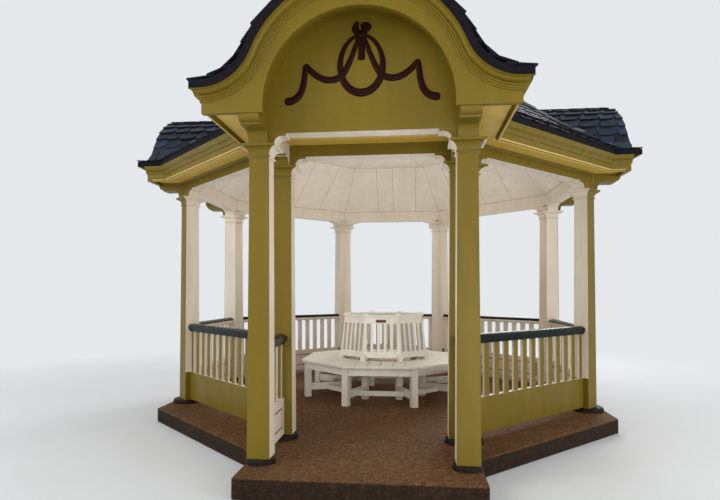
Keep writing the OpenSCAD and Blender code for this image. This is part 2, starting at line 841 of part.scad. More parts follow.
module bench_seat() {
  color(cream) bench_at() translate([0, 0, seat_h - seat_t])
    linear_extrude(height = seat_t) difference() {
      rotate(22.5) oct(seat_r);
      rotate(22.5) oct(seat_in);
      for (k = [0:7]) rotate(45 * k) for (i = [-2:2])
        translate([i * 150 - 5, -seat_r + 45])
          square([10, abs(i) == 2 ? 330 : seat_r - seat_in - 90]);
    }
}

// Plan places of the bench legs, at the corners of the seat.
leg_out = 76;
leg_in = 70;
out_r = (seat_r - 25) / cos(22.5) - 56;
in_r = (seat_in - 18) / cos(22.5);
module at_seat_corners() {
  for (k = [0:7]) rotate(45 * k + 22.5) children();
}
module legs_plan(g = 0) {
  a = leg_out + 2 * g;
  b = leg_in + 2 * g;
  at_seat_corners() {
    translate([-a / 2, -out_r - a / 2]) square(a);
    translate([-b / 2, -in_r - b / 2]) square(b);
  }
}
module bench_legs() {
  color(cream) bench_at() linear_extrude(height = seat_h - seat_t)
    legs_plan();
}

// Aprons under the edge of the seat, stretchers from leg to leg and cross
// rails between the stretchers, each let in with a hairline of room.
apron_h = 88;
brace_w = 44;
cross_r = 700;
module brace_plan(g = 0) {
  at_seat_corners()
    translate([-brace_w / 2 - g, -out_r + leg_out / 2 + 0.4])
      square([brace_w + 2 * g, out_r - in_r - leg_out / 2 - leg_in / 2 - 0.8]);
}
module ring_plan(r, w) {
  difference() {
    rotate(22.5) oct(r);
    rotate(22.5) oct(r - w);
  }
}
module bench_rails() {
  color(cream) bench_at() {
    translate([0, 0, seat_h - seat_t - apron_h])
      linear_extrude(height = apron_h) difference() {
        ring_plan(seat_r - 45, 28);
        legs_plan(0.4);
      }
    translate([0, 0, 85]) linear_extrude(height = 85) brace_plan();
    translate([0, 0, 78]) linear_extrude(height = 58) difference() {
      ring_plan(cross_r + 14, 28);
      brace_plan(0.4);
    }
  }
}

// One face of the backrest: two rails with upright slats between them.
module bench_back() {
  h = back_top - seat_h;
  slant = h / cos(back_lean);
  top_r = back_r - h * tan(back_lean);
  b = back_r * t22;
  t = top_r * t22;
  bottom = 42;
  color(cream) bench_at() translate([0, 0, seat_h]) {
    for (k = [0:7]) rotate([0, 0, 45 * k]) translate([0, -back_r, 0])
      rotate([90 - back_lean, 0, 0]) translate([0, 0, -28])
        linear_extrude(height = 28) difference() {
          polygon([[-b, bottom], [b, bottom], [t, slant], [-t, slant]]);
          for (i = [-2:2]) translate([i * 82 - 24, bottom + 74])
            square([48, slant - bottom - 177]);
        }
    for (k = [0:7]) rotate([0, 0, 45 * k + 22.5])
      translate([-30, -seat_in / cos(22.5) - 60, 0])
        cube([60, 50, bottom + 30]);
    translate([0, 0, h - 16]) linear_extrude(height = 22) difference() {
      rotate(22.5) oct(top_r + 18);
      rotate(22.5) oct(top_r - 50);
    }
    for (k = [0:7]) rotate([0, 0, 45 * k + 22.5])
      translate([-28, -top_r / cos(22.5) - 10, h - 16]) cube([56, 52, 36]);
  }
}

plinth();
post_feet();
porch_posts();
corner_posts();
capitals();
beams_straight();
beams_slanting();
porch_side_beams();
sawn_brackets();
gable_consoles();
handrails();
side_railing(1);  // railing_front_right
side_railing(2);  // railing_right
side_railing(3);  // railing_back_right
side_railing(4);  // railing_back
side_railing(5);  // railing_back_left
side_railing(6);  // railing_left
side_railing(7);  // railing_front_left
railings_porch();
gable_board(0);  // gable_board_front
gable_board(1);  // gable_board_right
gable_board(2);  // gable_board_back
gable_board(3);  // gable_board_left
verge_mouldings();
tympana();
arch_linings();
cornice_front();
cornice_back();
soffits();
ceiling_straight();
ceiling_slanting();
ceiling_centre();
tent_roof_straight();
tent_roof_slanting();
hip_capping();
gable_roof(0);  // gable_roof_front
gable_roof(1);  // gable_roof_right
gable_roof(2);  // gable_roof_back
gable_roof(3);  // gable_roof_left
garland();
bench_seat();
bench_legs();
bench_rails();
bench_back();
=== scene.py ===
# %% [markdown]
# # An octagonal timber bandstand
# The constructed parts come in finished from the frame: posts, beams,
# gables, roof shells, railings and bench. This lesson gives them their
# paint, stone and slate, and adds what is too small for the construction:
# the slates themselves, the lead in the valleys, the small moulding under the
# eaves, the joints of the ceiling and the plate on the bench. It also draws
# the railings, cornice, verge mouldings and garland again, with the finer
# profiles that the real ones have.

import math
import random

import bmesh
import bpy
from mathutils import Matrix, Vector


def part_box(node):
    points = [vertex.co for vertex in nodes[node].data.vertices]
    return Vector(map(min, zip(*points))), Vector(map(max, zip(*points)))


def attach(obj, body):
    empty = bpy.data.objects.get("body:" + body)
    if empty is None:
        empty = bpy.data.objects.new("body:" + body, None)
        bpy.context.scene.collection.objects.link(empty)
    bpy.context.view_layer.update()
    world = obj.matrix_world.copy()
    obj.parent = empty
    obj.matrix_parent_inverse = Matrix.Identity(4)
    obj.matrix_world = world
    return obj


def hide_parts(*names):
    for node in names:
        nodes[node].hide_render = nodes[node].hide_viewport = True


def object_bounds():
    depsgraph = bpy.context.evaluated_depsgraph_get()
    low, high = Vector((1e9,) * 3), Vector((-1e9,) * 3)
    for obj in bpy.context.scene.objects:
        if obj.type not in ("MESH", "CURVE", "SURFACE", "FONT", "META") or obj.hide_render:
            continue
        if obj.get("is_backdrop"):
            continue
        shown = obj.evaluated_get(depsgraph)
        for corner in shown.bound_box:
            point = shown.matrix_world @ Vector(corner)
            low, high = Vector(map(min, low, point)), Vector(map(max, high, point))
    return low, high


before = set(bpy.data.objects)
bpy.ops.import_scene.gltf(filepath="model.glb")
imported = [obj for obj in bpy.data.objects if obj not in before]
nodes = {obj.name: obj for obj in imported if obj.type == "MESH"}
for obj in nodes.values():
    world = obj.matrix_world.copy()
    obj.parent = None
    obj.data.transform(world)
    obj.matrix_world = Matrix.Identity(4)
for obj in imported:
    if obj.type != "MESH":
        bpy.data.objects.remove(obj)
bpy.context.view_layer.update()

# %% [markdown]
# ## Camera
# The photo was taken with a wide lens from just right of the entrance, and
# it was framed upwards. A small vertical shift gives the same framing and
# keeps the posts upright, which a tilted camera would not.

# %% Camera
camera_data = bpy.data.cameras.new("camera")
camera_data.sensor_width = 36
camera_data.lens = 27.73
camera_data.shift_x = 0.0078
camera_data.shift_y = 0.0464
camera_data.clip_end = 300
camera = bpy.data.objects.new("camera", camera_data)
camera.location = (0.394, -7.354, 1.485)
camera.rotation_euler = (math.radians(90.91), 0, math.radians(6.10))
bpy.context.scene.collection.objects.link(camera)
bpy.context.scene.camera = camera
print("camera at", tuple(round(v, 3) for v in camera.location))

# %% [markdown]
# ## Two helpers for materials
# Colours are written as sRGB hex values, as a paint chart gives them, and
# Blender wants them linear. Every material is a small tree of nodes, so
# one function adds a node, sets it and links its inputs.


# %% Colour and node helpers
def colour(hex_value):
    parts = [int(hex_value[i:i + 2], 16) / 255 for i in (1, 3, 5)]
    return tuple(c / 12.92 if c <= 0.04045 else ((c + 0.055) / 1.055) ** 2.4
                 for c in parts) + (1.0,)


def add(tree, kind, inputs=None, **settings):
    """Adds a node. Its inputs, by name or number, get values, sockets or
    nodes, and a node stands for its first output."""
    new = tree.nodes.new(kind)
    for name, value in settings.items():
        setattr(new, name, value)
    for name, value in (inputs or {}).items():
        if isinstance(value, bpy.types.Node):
            value = value.outputs[0]
        if isinstance(value, bpy.types.NodeSocket):
            tree.links.new(value, new.inputs[name])
        else:
            new.inputs[name].default_value = value
    return new


def new_material(name):
    """An empty material, its tree, and the node that gives the place."""
    material = bpy.data.materials.new(name)
    material.use_nodes = True
    tree = material.node_tree
    tree.nodes.clear()
    return material, tree, add(tree, "ShaderNodeTexCoord")


def colours_along(ramp, *stops):
    """Sets a ramp's colours, as pairs of a position and a hex value."""
    elements = ramp.color_ramp.elements
    for i, (at, hex_value) in enumerate((stops[0], stops[-1])):
        elements[i].position = at
        elements[i].color = colour(hex_value)
    for at, hex_value in stops[1:-1]:
        elements.new(at).color = colour(hex_value)


def dress(material, *names):
    """Gives CAD nodes a material in place of their plain one."""
    for name in names:
        data = nodes[name].data
        data.materials.clear()
        data.materials.append(material)


# %% [markdown]
# ## Painted softwood
# All the timber is softwood under many coats of brushed oil paint. The
# paint fills the grain, so what is left is a faint ripple along the board,
# a slight change of tone where rain and dust have run down, and a soft
# gloss. The painters kept one rule: what faces outwards is ochre, what
# faces into the bandstand or down is cream. The material finds these faces
# by the way they point, seen from the middle of the bandstand.

# %% Which way a face points
INWARD = -0.6
ENTRANCE_HALF, ENTRANCE_BACK = 0.82, -2.0


def facing_out(tree, place, sideways=False):
    """1 for a face that points straight away from the middle of the
    bandstand, -1 for one that points at it. On the porch railings it is
    counted sideways and from the steps."""
    flat = add(tree, "ShaderNodeVectorMath", {
        0: place.outputs["Object"], 1: (1, 0 if sideways else 1, 0)},
        operation="MULTIPLY")
    away = add(tree, "ShaderNodeVectorMath", {0: flat},
               operation="NORMALIZE")
    if sideways:
        away = add(tree, "ShaderNodeVectorMath", {
            0: away, 1: (0, -1, 0)}, operation="ADD")
    facing = add(tree, "ShaderNodeVectorMath", {
        0: place.outputs["Normal"], 1: away}, operation="DOT_PRODUCT")
    return facing.outputs["Value"]


def beside_entrance(tree, spot):
    """1 on the outer sides of the entrance's posts and on all others. spot
    is the node that splits a point into x, y and z."""
    squared = add(tree, "ShaderNodeMath", {
        0: spot.outputs["X"], 1: spot.outputs["X"]}, operation="MULTIPLY")
    wide = add(tree, "ShaderNodeMath", {0: squared, 1: ENTRANCE_HALF ** 2},
               operation="GREATER_THAN")
    behind = add(tree, "ShaderNodeMath", {
        0: spot.outputs["Y"], 1: ENTRANCE_BACK}, operation="GREATER_THAN")
    return add(tree, "ShaderNodeMath", {0: wide, 1: behind},
               operation="MAXIMUM")


# %% Paint over timber
STREAK, CLOUD = 111, 588  # mm


def paint_shader(tree, place, base, run=(1, 1, 0.06), ripple=22,
                 level=0.2):
    """Oil paint over timber. base is a colour or a socket, run stretches
    the ripple along the boards, and ripple is its width in mm."""
    stretched = add(tree, "ShaderNodeVectorMath", {
        0: place.outputs["Object"], 1: run}, operation="MULTIPLY")
    grain = add(tree, "ShaderNodeTexNoise", {
        "Vector": stretched, "Scale": 1000 / ripple, "Detail": 3.0,
        "Roughness": 0.6})
    runs_down = add(tree, "ShaderNodeVectorMath", {
        0: place.outputs["Object"], 1: (1, 1, 0.12)}, operation="MULTIPLY")
    streaks = add(tree, "ShaderNodeTexNoise", {
        "Vector": runs_down, "Scale": 1000 / STREAK,
        "Detail": 4.0, "Roughness": 0.65})
    clouds = add(tree, "ShaderNodeTexNoise", {
        "Vector": place.outputs["Object"], "Scale": 1000 / CLOUD,
        "Detail": 2.0})
    tone = add(tree, "ShaderNodeMapRange", {
        "Value": streaks, "From Min": 0.35, "From Max": 0.75,
        "To Min": 1.03, "To Max": 0.90})
    cloud = add(tree, "ShaderNodeMapRange", {
        "Value": clouds, "From Min": 0.3, "From Max": 0.7,
        "To Min": 0.96, "To Max": 1.04})
    shade = add(tree, "ShaderNodeMath", {0: tone, 1: cloud},
                operation="MULTIPLY")
    toned = add(tree, "ShaderNodeVectorMath", {0: base, 3: shade},
                operation="SCALE")
    relief = add(tree, "ShaderNodeBump", {
        "Height": grain, "Strength": 0.14, "Distance": 0.002})
    gloss = add(tree, "ShaderNodeMapRange", {
        "Value": streaks, "From Min": 0.3, "From Max": 0.7,
        "To Min": 0.36, "To Max": 0.52})
    return add(tree, "ShaderNodeBsdfPrincipled", {
        "Base Color": toned, "Roughness": gloss,
        "Normal": relief, "Specular IOR Level": level})


def painted(name, outer, inner=None, limit=0.1, run=(1, 1, 0.06),
            ripple=22, sideways=False, jamb_top=None, level=0.2):
    """A painted timber: outer where it faces out, inner where it faces in.
    Below jamb_top the sides of a post are painted outer too."""
    material, tree, place = new_material(name)
    if inner is None:
        base = colour(outer)[:3]
    else:
        facing = facing_out(tree, place, sideways)
        outside = add(tree, "ShaderNodeMath", {0: facing, 1: limit},
                      operation="GREATER_THAN")
        if jamb_top:
            spot = add(tree, "ShaderNodeSeparateXYZ", {
                0: place.outputs["Object"]})
            low = add(tree, "ShaderNodeMath", {
                0: spot.outputs["Z"], 1: jamb_top}, operation="LESS_THAN")
            jamb = add(tree, "ShaderNodeMath", {0: facing, 1: INWARD},
                       operation="GREATER_THAN")
            # No railing stands between the two posts of the entrance.
            for rule in (low, beside_entrance(tree, spot)):
                jamb = add(tree, "ShaderNodeMath", {0: jamb, 1: rule},
                           operation="MULTIPLY")
            outside = add(tree, "ShaderNodeMath", {0: outside, 1: jamb},
                          operation="MAXIMUM")
        base = add(tree, "ShaderNodeMix", {
            "Factor": outside, 6: colour(inner), 7: colour(outer)},
            data_type="RGBA").outputs[2]
    add(tree, "ShaderNodeOutputMaterial", {
        "Surface": paint_shader(tree, place, base, run, ripple, level)})
    return material


# %% The paints of the bandstand
# The ochre is darker than the paint itself: it carries painted shade, as if the outward
# faces stood in shade.
OCHRE_WITH_SHADE, CREAM = "#6f5d16", "#ddd1be"
PANEL_TOP = 0.533
LEVEL, EVERY = (0.08, 0.08, 1), (1, 1, 1)
dress(painted("ochre_gable_paint", OCHRE_WITH_SHADE, run=EVERY, ripple=30),
      "gable_board_front", "gable_board_right", "gable_board_back",
      "gable_board_left", "tympana", "arch_linings", "gable_consoles")
dress(painted("post_paint", OCHRE_WITH_SHADE, CREAM, jamb_top=PANEL_TOP),
      "corner_posts")
dress(painted("porch_post_paint", OCHRE_WITH_SHADE, CREAM), "porch_posts")
dress(painted("beam_paint", OCHRE_WITH_SHADE, CREAM, run=LEVEL), "capitals",
      "beams_straight", "beams_slanting", "porch_side_beams",
      "sawn_brackets")
dress(painted("soffit_paint", "#dab752", run=LEVEL), "soffits")
dress(painted("ceiling_paint", "#e2d7c7", run=EVERY, ripple=40),
      "ceiling_straight", "ceiling_slanting", "ceiling_centre")
dress(painted("bench_paint", "#e2dccf", run=EVERY, ripple=26),
      "bench_seat", "bench_legs", "bench_rails", "bench_back")
print("painted nodes:", sum(1 for o in nodes.values()
                            if "paint" in o.data.materials[0].name))

# %% [markdown]
# Sawn timber is never quite sharp once it has been planed and painted. A
# small bevel takes the hard line off the edges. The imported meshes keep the
# corners of each face apart, so a weld joins them first.


# %% Worn edges
def soften(name, width, segments=2):
    weld = nodes[name].modifiers.new("weld", "WELD")
    weld.merge_threshold = 0.00001
    bevel = nodes[name].modifiers.new("worn_edges", "BEVEL")
    bevel.width = width
    bevel.segments = segments
    bevel.limit_method = "ANGLE"
    bevel.angle_limit = math.radians(40)


WORN = {"porch_posts": 0.006, "corner_posts": 0.006, "beams_slanting": 0.004,
        "porch_side_beams": 0.004, "bench_seat": 0.004, "bench_legs": 0.004,
        "bench_rails": 0.003}
for name, width in WORN.items():
    soften(name, width)
print("edges softened on", len(WORN), "nodes")

# %% [markdown]
# ## Gloss paint on the handrails
# The handrails are the part that hands polish. They carry a very dark
# green gloss paint: the colour hardly shows, the reflections do. The gloss
# is a coat over a duller colour, as a varnished paint is.

# %% Green gloss paint
green, tree, place = new_material("green_gloss_paint")
wear = add(tree, "ShaderNodeTexNoise", {
    "Vector": place.outputs["Object"], "Scale": 1000 / 71,
    "Detail": 5.0, "Roughness": 0.7})
shade = add(tree, "ShaderNodeValToRGB", {"Fac": wear})
colours_along(shade, (0.35, "#050c0a"), (0.75, "#0e1f19"))
dull = add(tree, "ShaderNodeMapRange", {
    "Value": wear, "From Min": 0.3, "From Max": 0.7,
    "To Min": 0.18, "To Max": 0.32})
brushed = add(tree, "ShaderNodeBump", {
    "Height": wear, "Strength": 0.06, "Distance": 0.002})
gloss_green = add(tree, "ShaderNodeBsdfPrincipled", {
    "Base Color": shade, "Roughness": dull,
    "Normal": brushed, "Specular IOR Level": 0.1})
# The lower band of the inner side is cream, like the balusters under it.
BAND_TOP = 1.066
spot = add(tree, "ShaderNodeSeparateXYZ", {0: place.outputs["Object"]})
low = add(tree, "ShaderNodeMath", {0: spot.outputs["Z"], 1: BAND_TOP},
          operation="LESS_THAN")
inside = add(tree, "ShaderNodeMath", {
    0: facing_out(tree, place), 1: INWARD}, operation="LESS_THAN")
cream_band = add(tree, "ShaderNodeMath", {0: inside, 1: low},
                 operation="MULTIPLY")
both = add(tree, "ShaderNodeMixShader", {
    0: cream_band, 1: gloss_green,
    2: paint_shader(tree, place, colour(CREAM)[:3])})
add(tree, "ShaderNodeOutputMaterial", {"Surface": both})
dress(green, "handrails")
print("handrails painted")

# %% [markdown]
# ## Exposed aggregate
# The plinth is cast stone with its cement skin washed off, so gravel of 8 to 16 mm stands
# out of it. At that size it would only shimmer in the picture, so the pebbles are drawn at
# 22 mm. Blotches of wear vary its tone, and the sides are painted far darker than the top,
# as painted shade, by how steeply they face.

# %% Exposed aggregate
PEBBLE = 22  # mm
aggregate, tree, place = new_material("exposed_aggregate")
pebbles = add(tree, "ShaderNodeTexVoronoi", {
    "Vector": place.outputs["Object"], "Scale": 1000 / PEBBLE})
edges = add(tree, "ShaderNodeTexVoronoi", {
    "Vector": place.outputs["Object"], "Scale": 1000 / PEBBLE},
    feature="DISTANCE_TO_EDGE")
split = add(tree, "ShaderNodeSeparateColor", {
    0: pebbles.outputs["Color"]})
stones = add(tree, "ShaderNodeValToRGB", {"Fac": split})
colours_along(stones, (0.0, "#4c321b"), (0.3, "#6f4824"), (0.55, "#7d5730"),
              (0.8, "#604324"), (1.0, "#94693c"))
paste = add(tree, "ShaderNodeMapRange", {
    "Value": edges, "From Min": 0.0, "From Max": 0.12,
    "To Min": 1.0, "To Max": 0.0})
mixed = add(tree, "ShaderNodeMix", {
    "Factor": paste, 6: stones, 7: colour("#4c3824")}, data_type="RGBA")
blotches = add(tree, "ShaderNodeTexNoise", {
    "Vector": place.outputs["Object"], "Scale": 1000 / 770,
    "Detail": 6.0, "Roughness": 0.62})
worn = add(tree, "ShaderNodeMapRange", {
    "Value": blotches, "From Min": 0.3, "From Max": 0.7,
    "To Min": 0.78, "To Max": 1.12})
normal_parts = add(tree, "ShaderNodeSeparateXYZ", {
    0: place.outputs["Normal"]})
# Painted shade: the steeper a face, the darker it is painted.
sides = add(tree, "ShaderNodeMapRange", {
    "Value": normal_parts.outputs["Z"], "From Min": 0.2,
    "From Max": 0.9, "To Min": 0.14, "To Max": 1.0})
shade = add(tree, "ShaderNodeMath", {0: worn, 1: sides},
            operation="MULTIPLY")
toned = add(tree, "ShaderNodeVectorMath", {
    0: mixed.outputs[2], 3: shade}, operation="SCALE")
relief = add(tree, "ShaderNodeBump", {
    "Height": edges, "Strength": 0.5, "Distance": 0.004})
shader = add(tree, "ShaderNodeBsdfPrincipled", {
    "Base Color": toned, "Roughness": 0.82,
    "Normal": relief, "Specular IOR Level": 0.2})
add(tree, "ShaderNodeOutputMaterial", {"Surface": shader})
dress(aggregate, "plinth")
soften("plinth", 0.016, 3)
print("plinth washed and its edge rounded to 16 mm")

# %% [markdown]
# ## Tar on the post feet
# The feet under the posts are cast iron, tarred against the wet. Tar is
# nearly black, patchy and half dull, with rust coming through at the edge.
# Its tone and its lumps follow the same patches, about 33 mm wide. Tarred
# boards and sheet lead age in patches too, so one function makes all three.


# %% Tarred iron
def patchy(name, width, tones, relief, surface, run=(1, 1, 1)):
    """A material whose tone and relief follow patches of a width in mm.
    run stretches them, and surface holds the rest of the shader's values."""
    material, tree, place = new_material(name)
    stretched = add(tree, "ShaderNodeVectorMath", {
        0: place.outputs["Object"], 1: run}, operation="MULTIPLY")
    patches = add(tree, "ShaderNodeTexNoise", {
        "Vector": stretched, "Scale": 1000 / width,
        "Detail": 5.0, "Roughness": 0.7})
    tone = add(tree, "ShaderNodeValToRGB", {"Fac": patches})
    colours_along(tone, *tones)
    lumps = add(tree, "ShaderNodeBump", {
        "Height": patches, "Strength": relief, "Distance": 0.003})
    shader = add(tree, "ShaderNodeBsdfPrincipled", {
        "Base Color": tone, "Normal": lumps, **surface})
    add(tree, "ShaderNodeOutputMaterial", {"Surface": shader})
    return material


iron = patchy("tarred_iron", 33, ((0.4, "#120f0e"), (0.8, "#33221a")), 0.3,
              {"Roughness": 0.6, "Specular IOR Level": 0.15})
dress(iron, "post_feet")
print("feet tarred")

# %% [markdown]
# ## Natural slate
# Slate is split by hand, so each one has its own tone between blue-black and grey, and a
# riven face of low ridges. The random value that Blender gives each loose piece of a mesh
# picks the tone, so one material serves every slate. The cut edges are painted darker, as
# painted shadow in the gaps and under the tails, and the boards under the slates are
# tarred.

# %% Split slate and tarred boards


def split_slate(name, tones_hex, dusty, level):
    material, tree, place = new_material(name)
    geometry = add(tree, "ShaderNodeNewGeometry")
    tones = add(tree, "ShaderNodeValToRGB", {
        "Fac": geometry.outputs["Random Per Island"]})
    colours_along(tones, *zip((0.0, 0.35, 0.7, 1.0), tones_hex))
    dust = add(tree, "ShaderNodeTexNoise", {
        "Vector": place.outputs["Object"], "Scale": 1000 / 167,
        "Detail": 5.0, "Roughness": 0.7})
    grey = add(tree, "ShaderNodeMapRange", {
        "Value": dust, "From Min": 0.5, "From Max": 0.8,
        "To Min": 0.0, "To Max": dusty})
    weathered = add(tree, "ShaderNodeMix", {
        "Factor": grey, 6: tones, 7: colour("#5d6470")}, data_type="RGBA")
    ridges = add(tree, "ShaderNodeTexNoise", {
        "Vector": place.outputs["Object"], "Scale": 1000 / 35,
        "Detail": 6.0, "Roughness": 0.65, "Distortion": 0.6})
    riven = add(tree, "ShaderNodeBump", {
        "Height": ridges, "Strength": 0.4, "Distance": 0.004})
    sheen = add(tree, "ShaderNodeMapRange", {
        "Value": ridges, "From Min": 0.3, "From Max": 0.7,
        "To Min": 0.38, "To Max": 0.58})
    shader = add(tree, "ShaderNodeBsdfPrincipled", {
        "Base Color": weathered.outputs[2], "Roughness": sheen,
        "Normal": riven, "Specular IOR Level": level})
    add(tree, "ShaderNodeOutputMaterial", {"Surface": shader})
    return material


slate = split_slate("split_slate", ("#0f131d", "#161c2a", "#1f2738",
                                    "#2b3549"), 0.2, 0.2)
# Painted shadow: the cut edges get this darker slate, for the shade in the gaps and under
# the tails.
slate_edge_shade = split_slate("slate_edge_shade", ("#0a0b10", "#0d0f15", "#101219",
                                        "#15171e"), 0.1, 0.1)

boards = patchy("tarred_boards", 25, ((0.35, "#0b090d"), (0.8, "#1a161d")),
                0.4, {"Roughness": 0.8, "Specular IOR Level": 0.12},
                run=(0.3, 0.3, 1))
SHELLS = ("tent_roof_straight", "tent_roof_slanting", "gable_roof_front",
          "gable_roof_right", "gable_roof_back", "gable_roof_left",
          "hip_capping")
dress(boards, *SHELLS)
print("slate and boards ready for", len(SHELLS), "roof nodes")

# %% [markdown]
# ## Laying the slates
# The roof shells carry the form, and the slates lie on them in courses.
# A course is laid from the eaves up, each slate over the head of the one
# below, so its tail stands a little proud. The lower right corner is cut
# round, in the old way of laying scale slates. Sizes are the real ones:
# 150 to 230 mm wide and 135 mm of each slate showing.
#
# A roof side is described by its profile, a line in [out, up], so one
# function serves both the ogee gables and the tent.

# %% Sizes of the roof in metres
POST_LINE, BAY_HALF, PORCH_OUT = 2.340, 0.835, 0.750
DIAG_LINE = (POST_LINE + BAY_HALF) / math.sqrt(2)
T22 = math.tan(math.radians(22.5))
GABLE_HALF, CROWN_OUT, EAVE_LAP = 1.146, 0.052, 0.010
FASCIA_OUT = 0.343
Z_SOFFIT, Z_EAVE = 2.875, 2.950
EAVE_HALF = GABLE_HALF + CROWN_OUT + EAVE_LAP
TENT_OUT = FASCIA_OUT + CROWN_OUT + EAVE_LAP
EAVE_CORNER = POST_LINE + TENT_OUT
EAVE_BAY = BAY_HALF + TENT_OUT * T22
EAVE_LINE = DIAG_LINE + TENT_OUT
ROOF_T = 0.055
FLARE_RUN, FLARE_RISE, TENT_RISE = 0.2, 0.310, 2.048
GABLE_R, SWEEP_R = 0.820, 0.405
Z_ARC = Z_SOFFIT + 0.025
POST_W, POST_TAPER = 0.180, 0.87
BOARD_FRONT = POST_W * POST_TAPER / 2 + 0.299
VERGE = BOARD_FRONT + 0.090
GABLE_END = 1.3
SLATE_LONG, SLATE_THICK, EXPOSED = 0.215, 0.011, 0.135
TAIL_LIFT, SLATE_OVER, SLATE_BURIED = 0.019, 0.018, 0.03
NARROW, WIDE, JOINT, SLIP = 0.150, 0.230, 0.001, 0.003
CORNER_R, CORNER_VARIES = 0.088, 0.012
SIDES = ("front", "right", "back", "left")


def gable_line(g):
    """Distance of the posts of a gable from the middle. The porch is 0."""
    return POST_LINE + (PORCH_OUT if g == 0 else 0)


def turned(eighths, middle=(0, 0)):
    """A function that turns a point by eighths of a circle about the
    upright axis and then moves it to a middle."""
    c = math.cos(math.pi / 4 * eighths)
    s = math.sin(math.pi / 4 * eighths)
    return lambda x, y, z: Vector((x * c - y * s + middle[0],
                                   x * s + y * c + middle[1], z))


def ogee_line(off, end, foot_steps=20, crown_steps=20):
    """Half of the ogee at an offset, from its end up to the crown, as
    [out, up]: an arc of the foot that runs into the arc of the crown."""
    turn = math.asin((Z_EAVE + SWEEP_R - Z_ARC) / (GABLE_R + SWEEP_R))
    foot = (GABLE_R + SWEEP_R) * math.cos(turn)
    line = [(end, Z_EAVE + off)]
    for i in range(foot_steps + 1):
        a = 1.5 * math.pi - (math.pi / 2 - turn) * i / foot_steps
        line.append((foot + (SWEEP_R - off) * math.cos(a),
                     Z_EAVE + SWEEP_R + (SWEEP_R - off) * math.sin(a)))
    for i in range(1, crown_steps + 1):
        a = turn + (math.pi / 2 - turn) * i / crown_steps
        line.append(((GABLE_R + off) * math.cos(a),
                     Z_ARC + (GABLE_R + off) * math.sin(a)))
    return line


def tent_profile(edge):
    """A tent side from the eaves up to the apex, as [out, up]."""
    return [(edge, Z_EAVE + ROOF_T),
            (edge * (1 - FLARE_RUN), Z_EAVE + FLARE_RISE + ROOF_T),
            (0.0, Z_EAVE + TENT_RISE + ROOF_T)]


def at_length(line, s):
    """Point and outward normal of a profile at the length s from its foot."""
    for (x0, z0), (x1, z1) in zip(line, line[1:]):
        step = math.hypot(x1 - x0, z1 - z0)
        if s <= step or (x1, z1) == line[-1]:
            t = s / step
            nx, nz = (z1 - z0) / step, (x0 - x1) / step
            return (x0 + (x1 - x0) * t, z0 + (z1 - z0) * t), (nx, nz)
        s -= step


def total_length(line):
    return sum(math.dist(a, b) for a, b in zip(line, line[1:]))


OGEE = ogee_line(ROOF_T, EAVE_HALF + SLATE_OVER, 12, 18)
print("ogee from eaves to ridge", round(total_length(OGEE), 3), "m")


# %% [markdown]
# Where two roofs meet, only the higher one is slated. Two small functions
# give the height of each roof over any point of the plan.

# %% Which roof lies on top
def tent_height(x, y):
    share = max(abs(x) / EAVE_CORNER, abs(y) / EAVE_CORNER,
                (abs(x) + abs(y)) / math.sqrt(2) / EAVE_LINE)
    if share > 1:
        return -1.0
    run = 1 - share
    if run < FLARE_RUN:
        rise = FLARE_RISE * run / FLARE_RUN
    else:
        rise = FLARE_RISE + (TENT_RISE - FLARE_RISE) * (
            run - FLARE_RUN) / (1 - FLARE_RUN)
    return Z_EAVE + ROOF_T + rise


def ogee_height(x):
    x = abs(x)
    if x > EAVE_HALF + SLATE_OVER:
        return -1.0
    for (x0, z0), (x1, z1) in zip(OGEE, OGEE[1:]):
        if x1 <= x <= x0:
            return z0 + (z1 - z0) * (x0 - x) / max(x0 - x1, 1e-9)
    return OGEE[-1][1]


def gable_height(x, y):
    """Height of the highest gable roof over a point, or -1."""
    best = -1.0
    for g in range(4):
        c, s = math.cos(-math.pi / 2 * g), math.sin(-math.pi / 2 * g)
        u, v = x * c - y * s, x * s + y * c
        if -gable_line(g) - VERGE <= v <= -GABLE_END:
            best = max(best, ogee_height(u))
    return best


print("ridge of a gable", round(ogee_height(0), 3),
      "apex", round(tent_height(0, 0), 3))


# %% [markdown]
# A slate is drawn flat first: a board with a rounded corner. It is cut to
# the hips with the usual half-plane clip, then stood on the roof by its
# tail and its head and given its thickness.

# %% One slate and one side of a roof
def slate_outline(a, width, rng):
    """Outline in [across, up], tail at 0, with a round lower corner."""
    r = CORNER_R + rng.uniform(-CORNER_VARIES, CORNER_VARIES)
    slip = rng.uniform(-SLIP, SLIP)
    left, right = a + JOINT, a + width - JOINT
    pts = [(left, slip - 2 * SLIP)]
    for i in range(5):
        t = math.radians(-90 + 90 * i / 4)
        pts.append((right - r + r * math.cos(t), slip + r + r * math.sin(t)))
    return pts + [(right, SLATE_LONG), (left, SLATE_LONG)]


def clip(points, keep):
    """Keeps the part of a convex outline where keep(point) is positive."""
    out = []
    for i, p in enumerate(points):
        q = points[(i + 1) % len(points)]
        dp, dq = keep(p), keep(q)
        if dp >= 0:
            out.append(p)
        if (dp >= 0) != (dq >= 0):
            t = dp / (dp - dq)
            out.append((p[0] + (q[0] - p[0]) * t, p[1] + (q[1] - p[1]) * t))
    return out


def loft(mesh, rings):
    """A closed body through rings of as many points. It gives back the
    band of faces between each two of them."""
    rows = [[mesh.verts.new(p) for p in ring] for ring in rings]
    mesh.faces.new(rows[-1])
    mesh.faces.new(rows[0][::-1])
    return [[mesh.faces.new((a[i - 1], a[i], b[i], b[i - 1]))
             for i in (*range(1, len(a)), 0)] for a, b in zip(rows, rows[1:])]


def slab(mesh, lower, upper):
    """A closed slab between two outlines. Its rim is the second material."""
    for face in loft(mesh, (lower, upper))[0]:
        face.material_index = 1


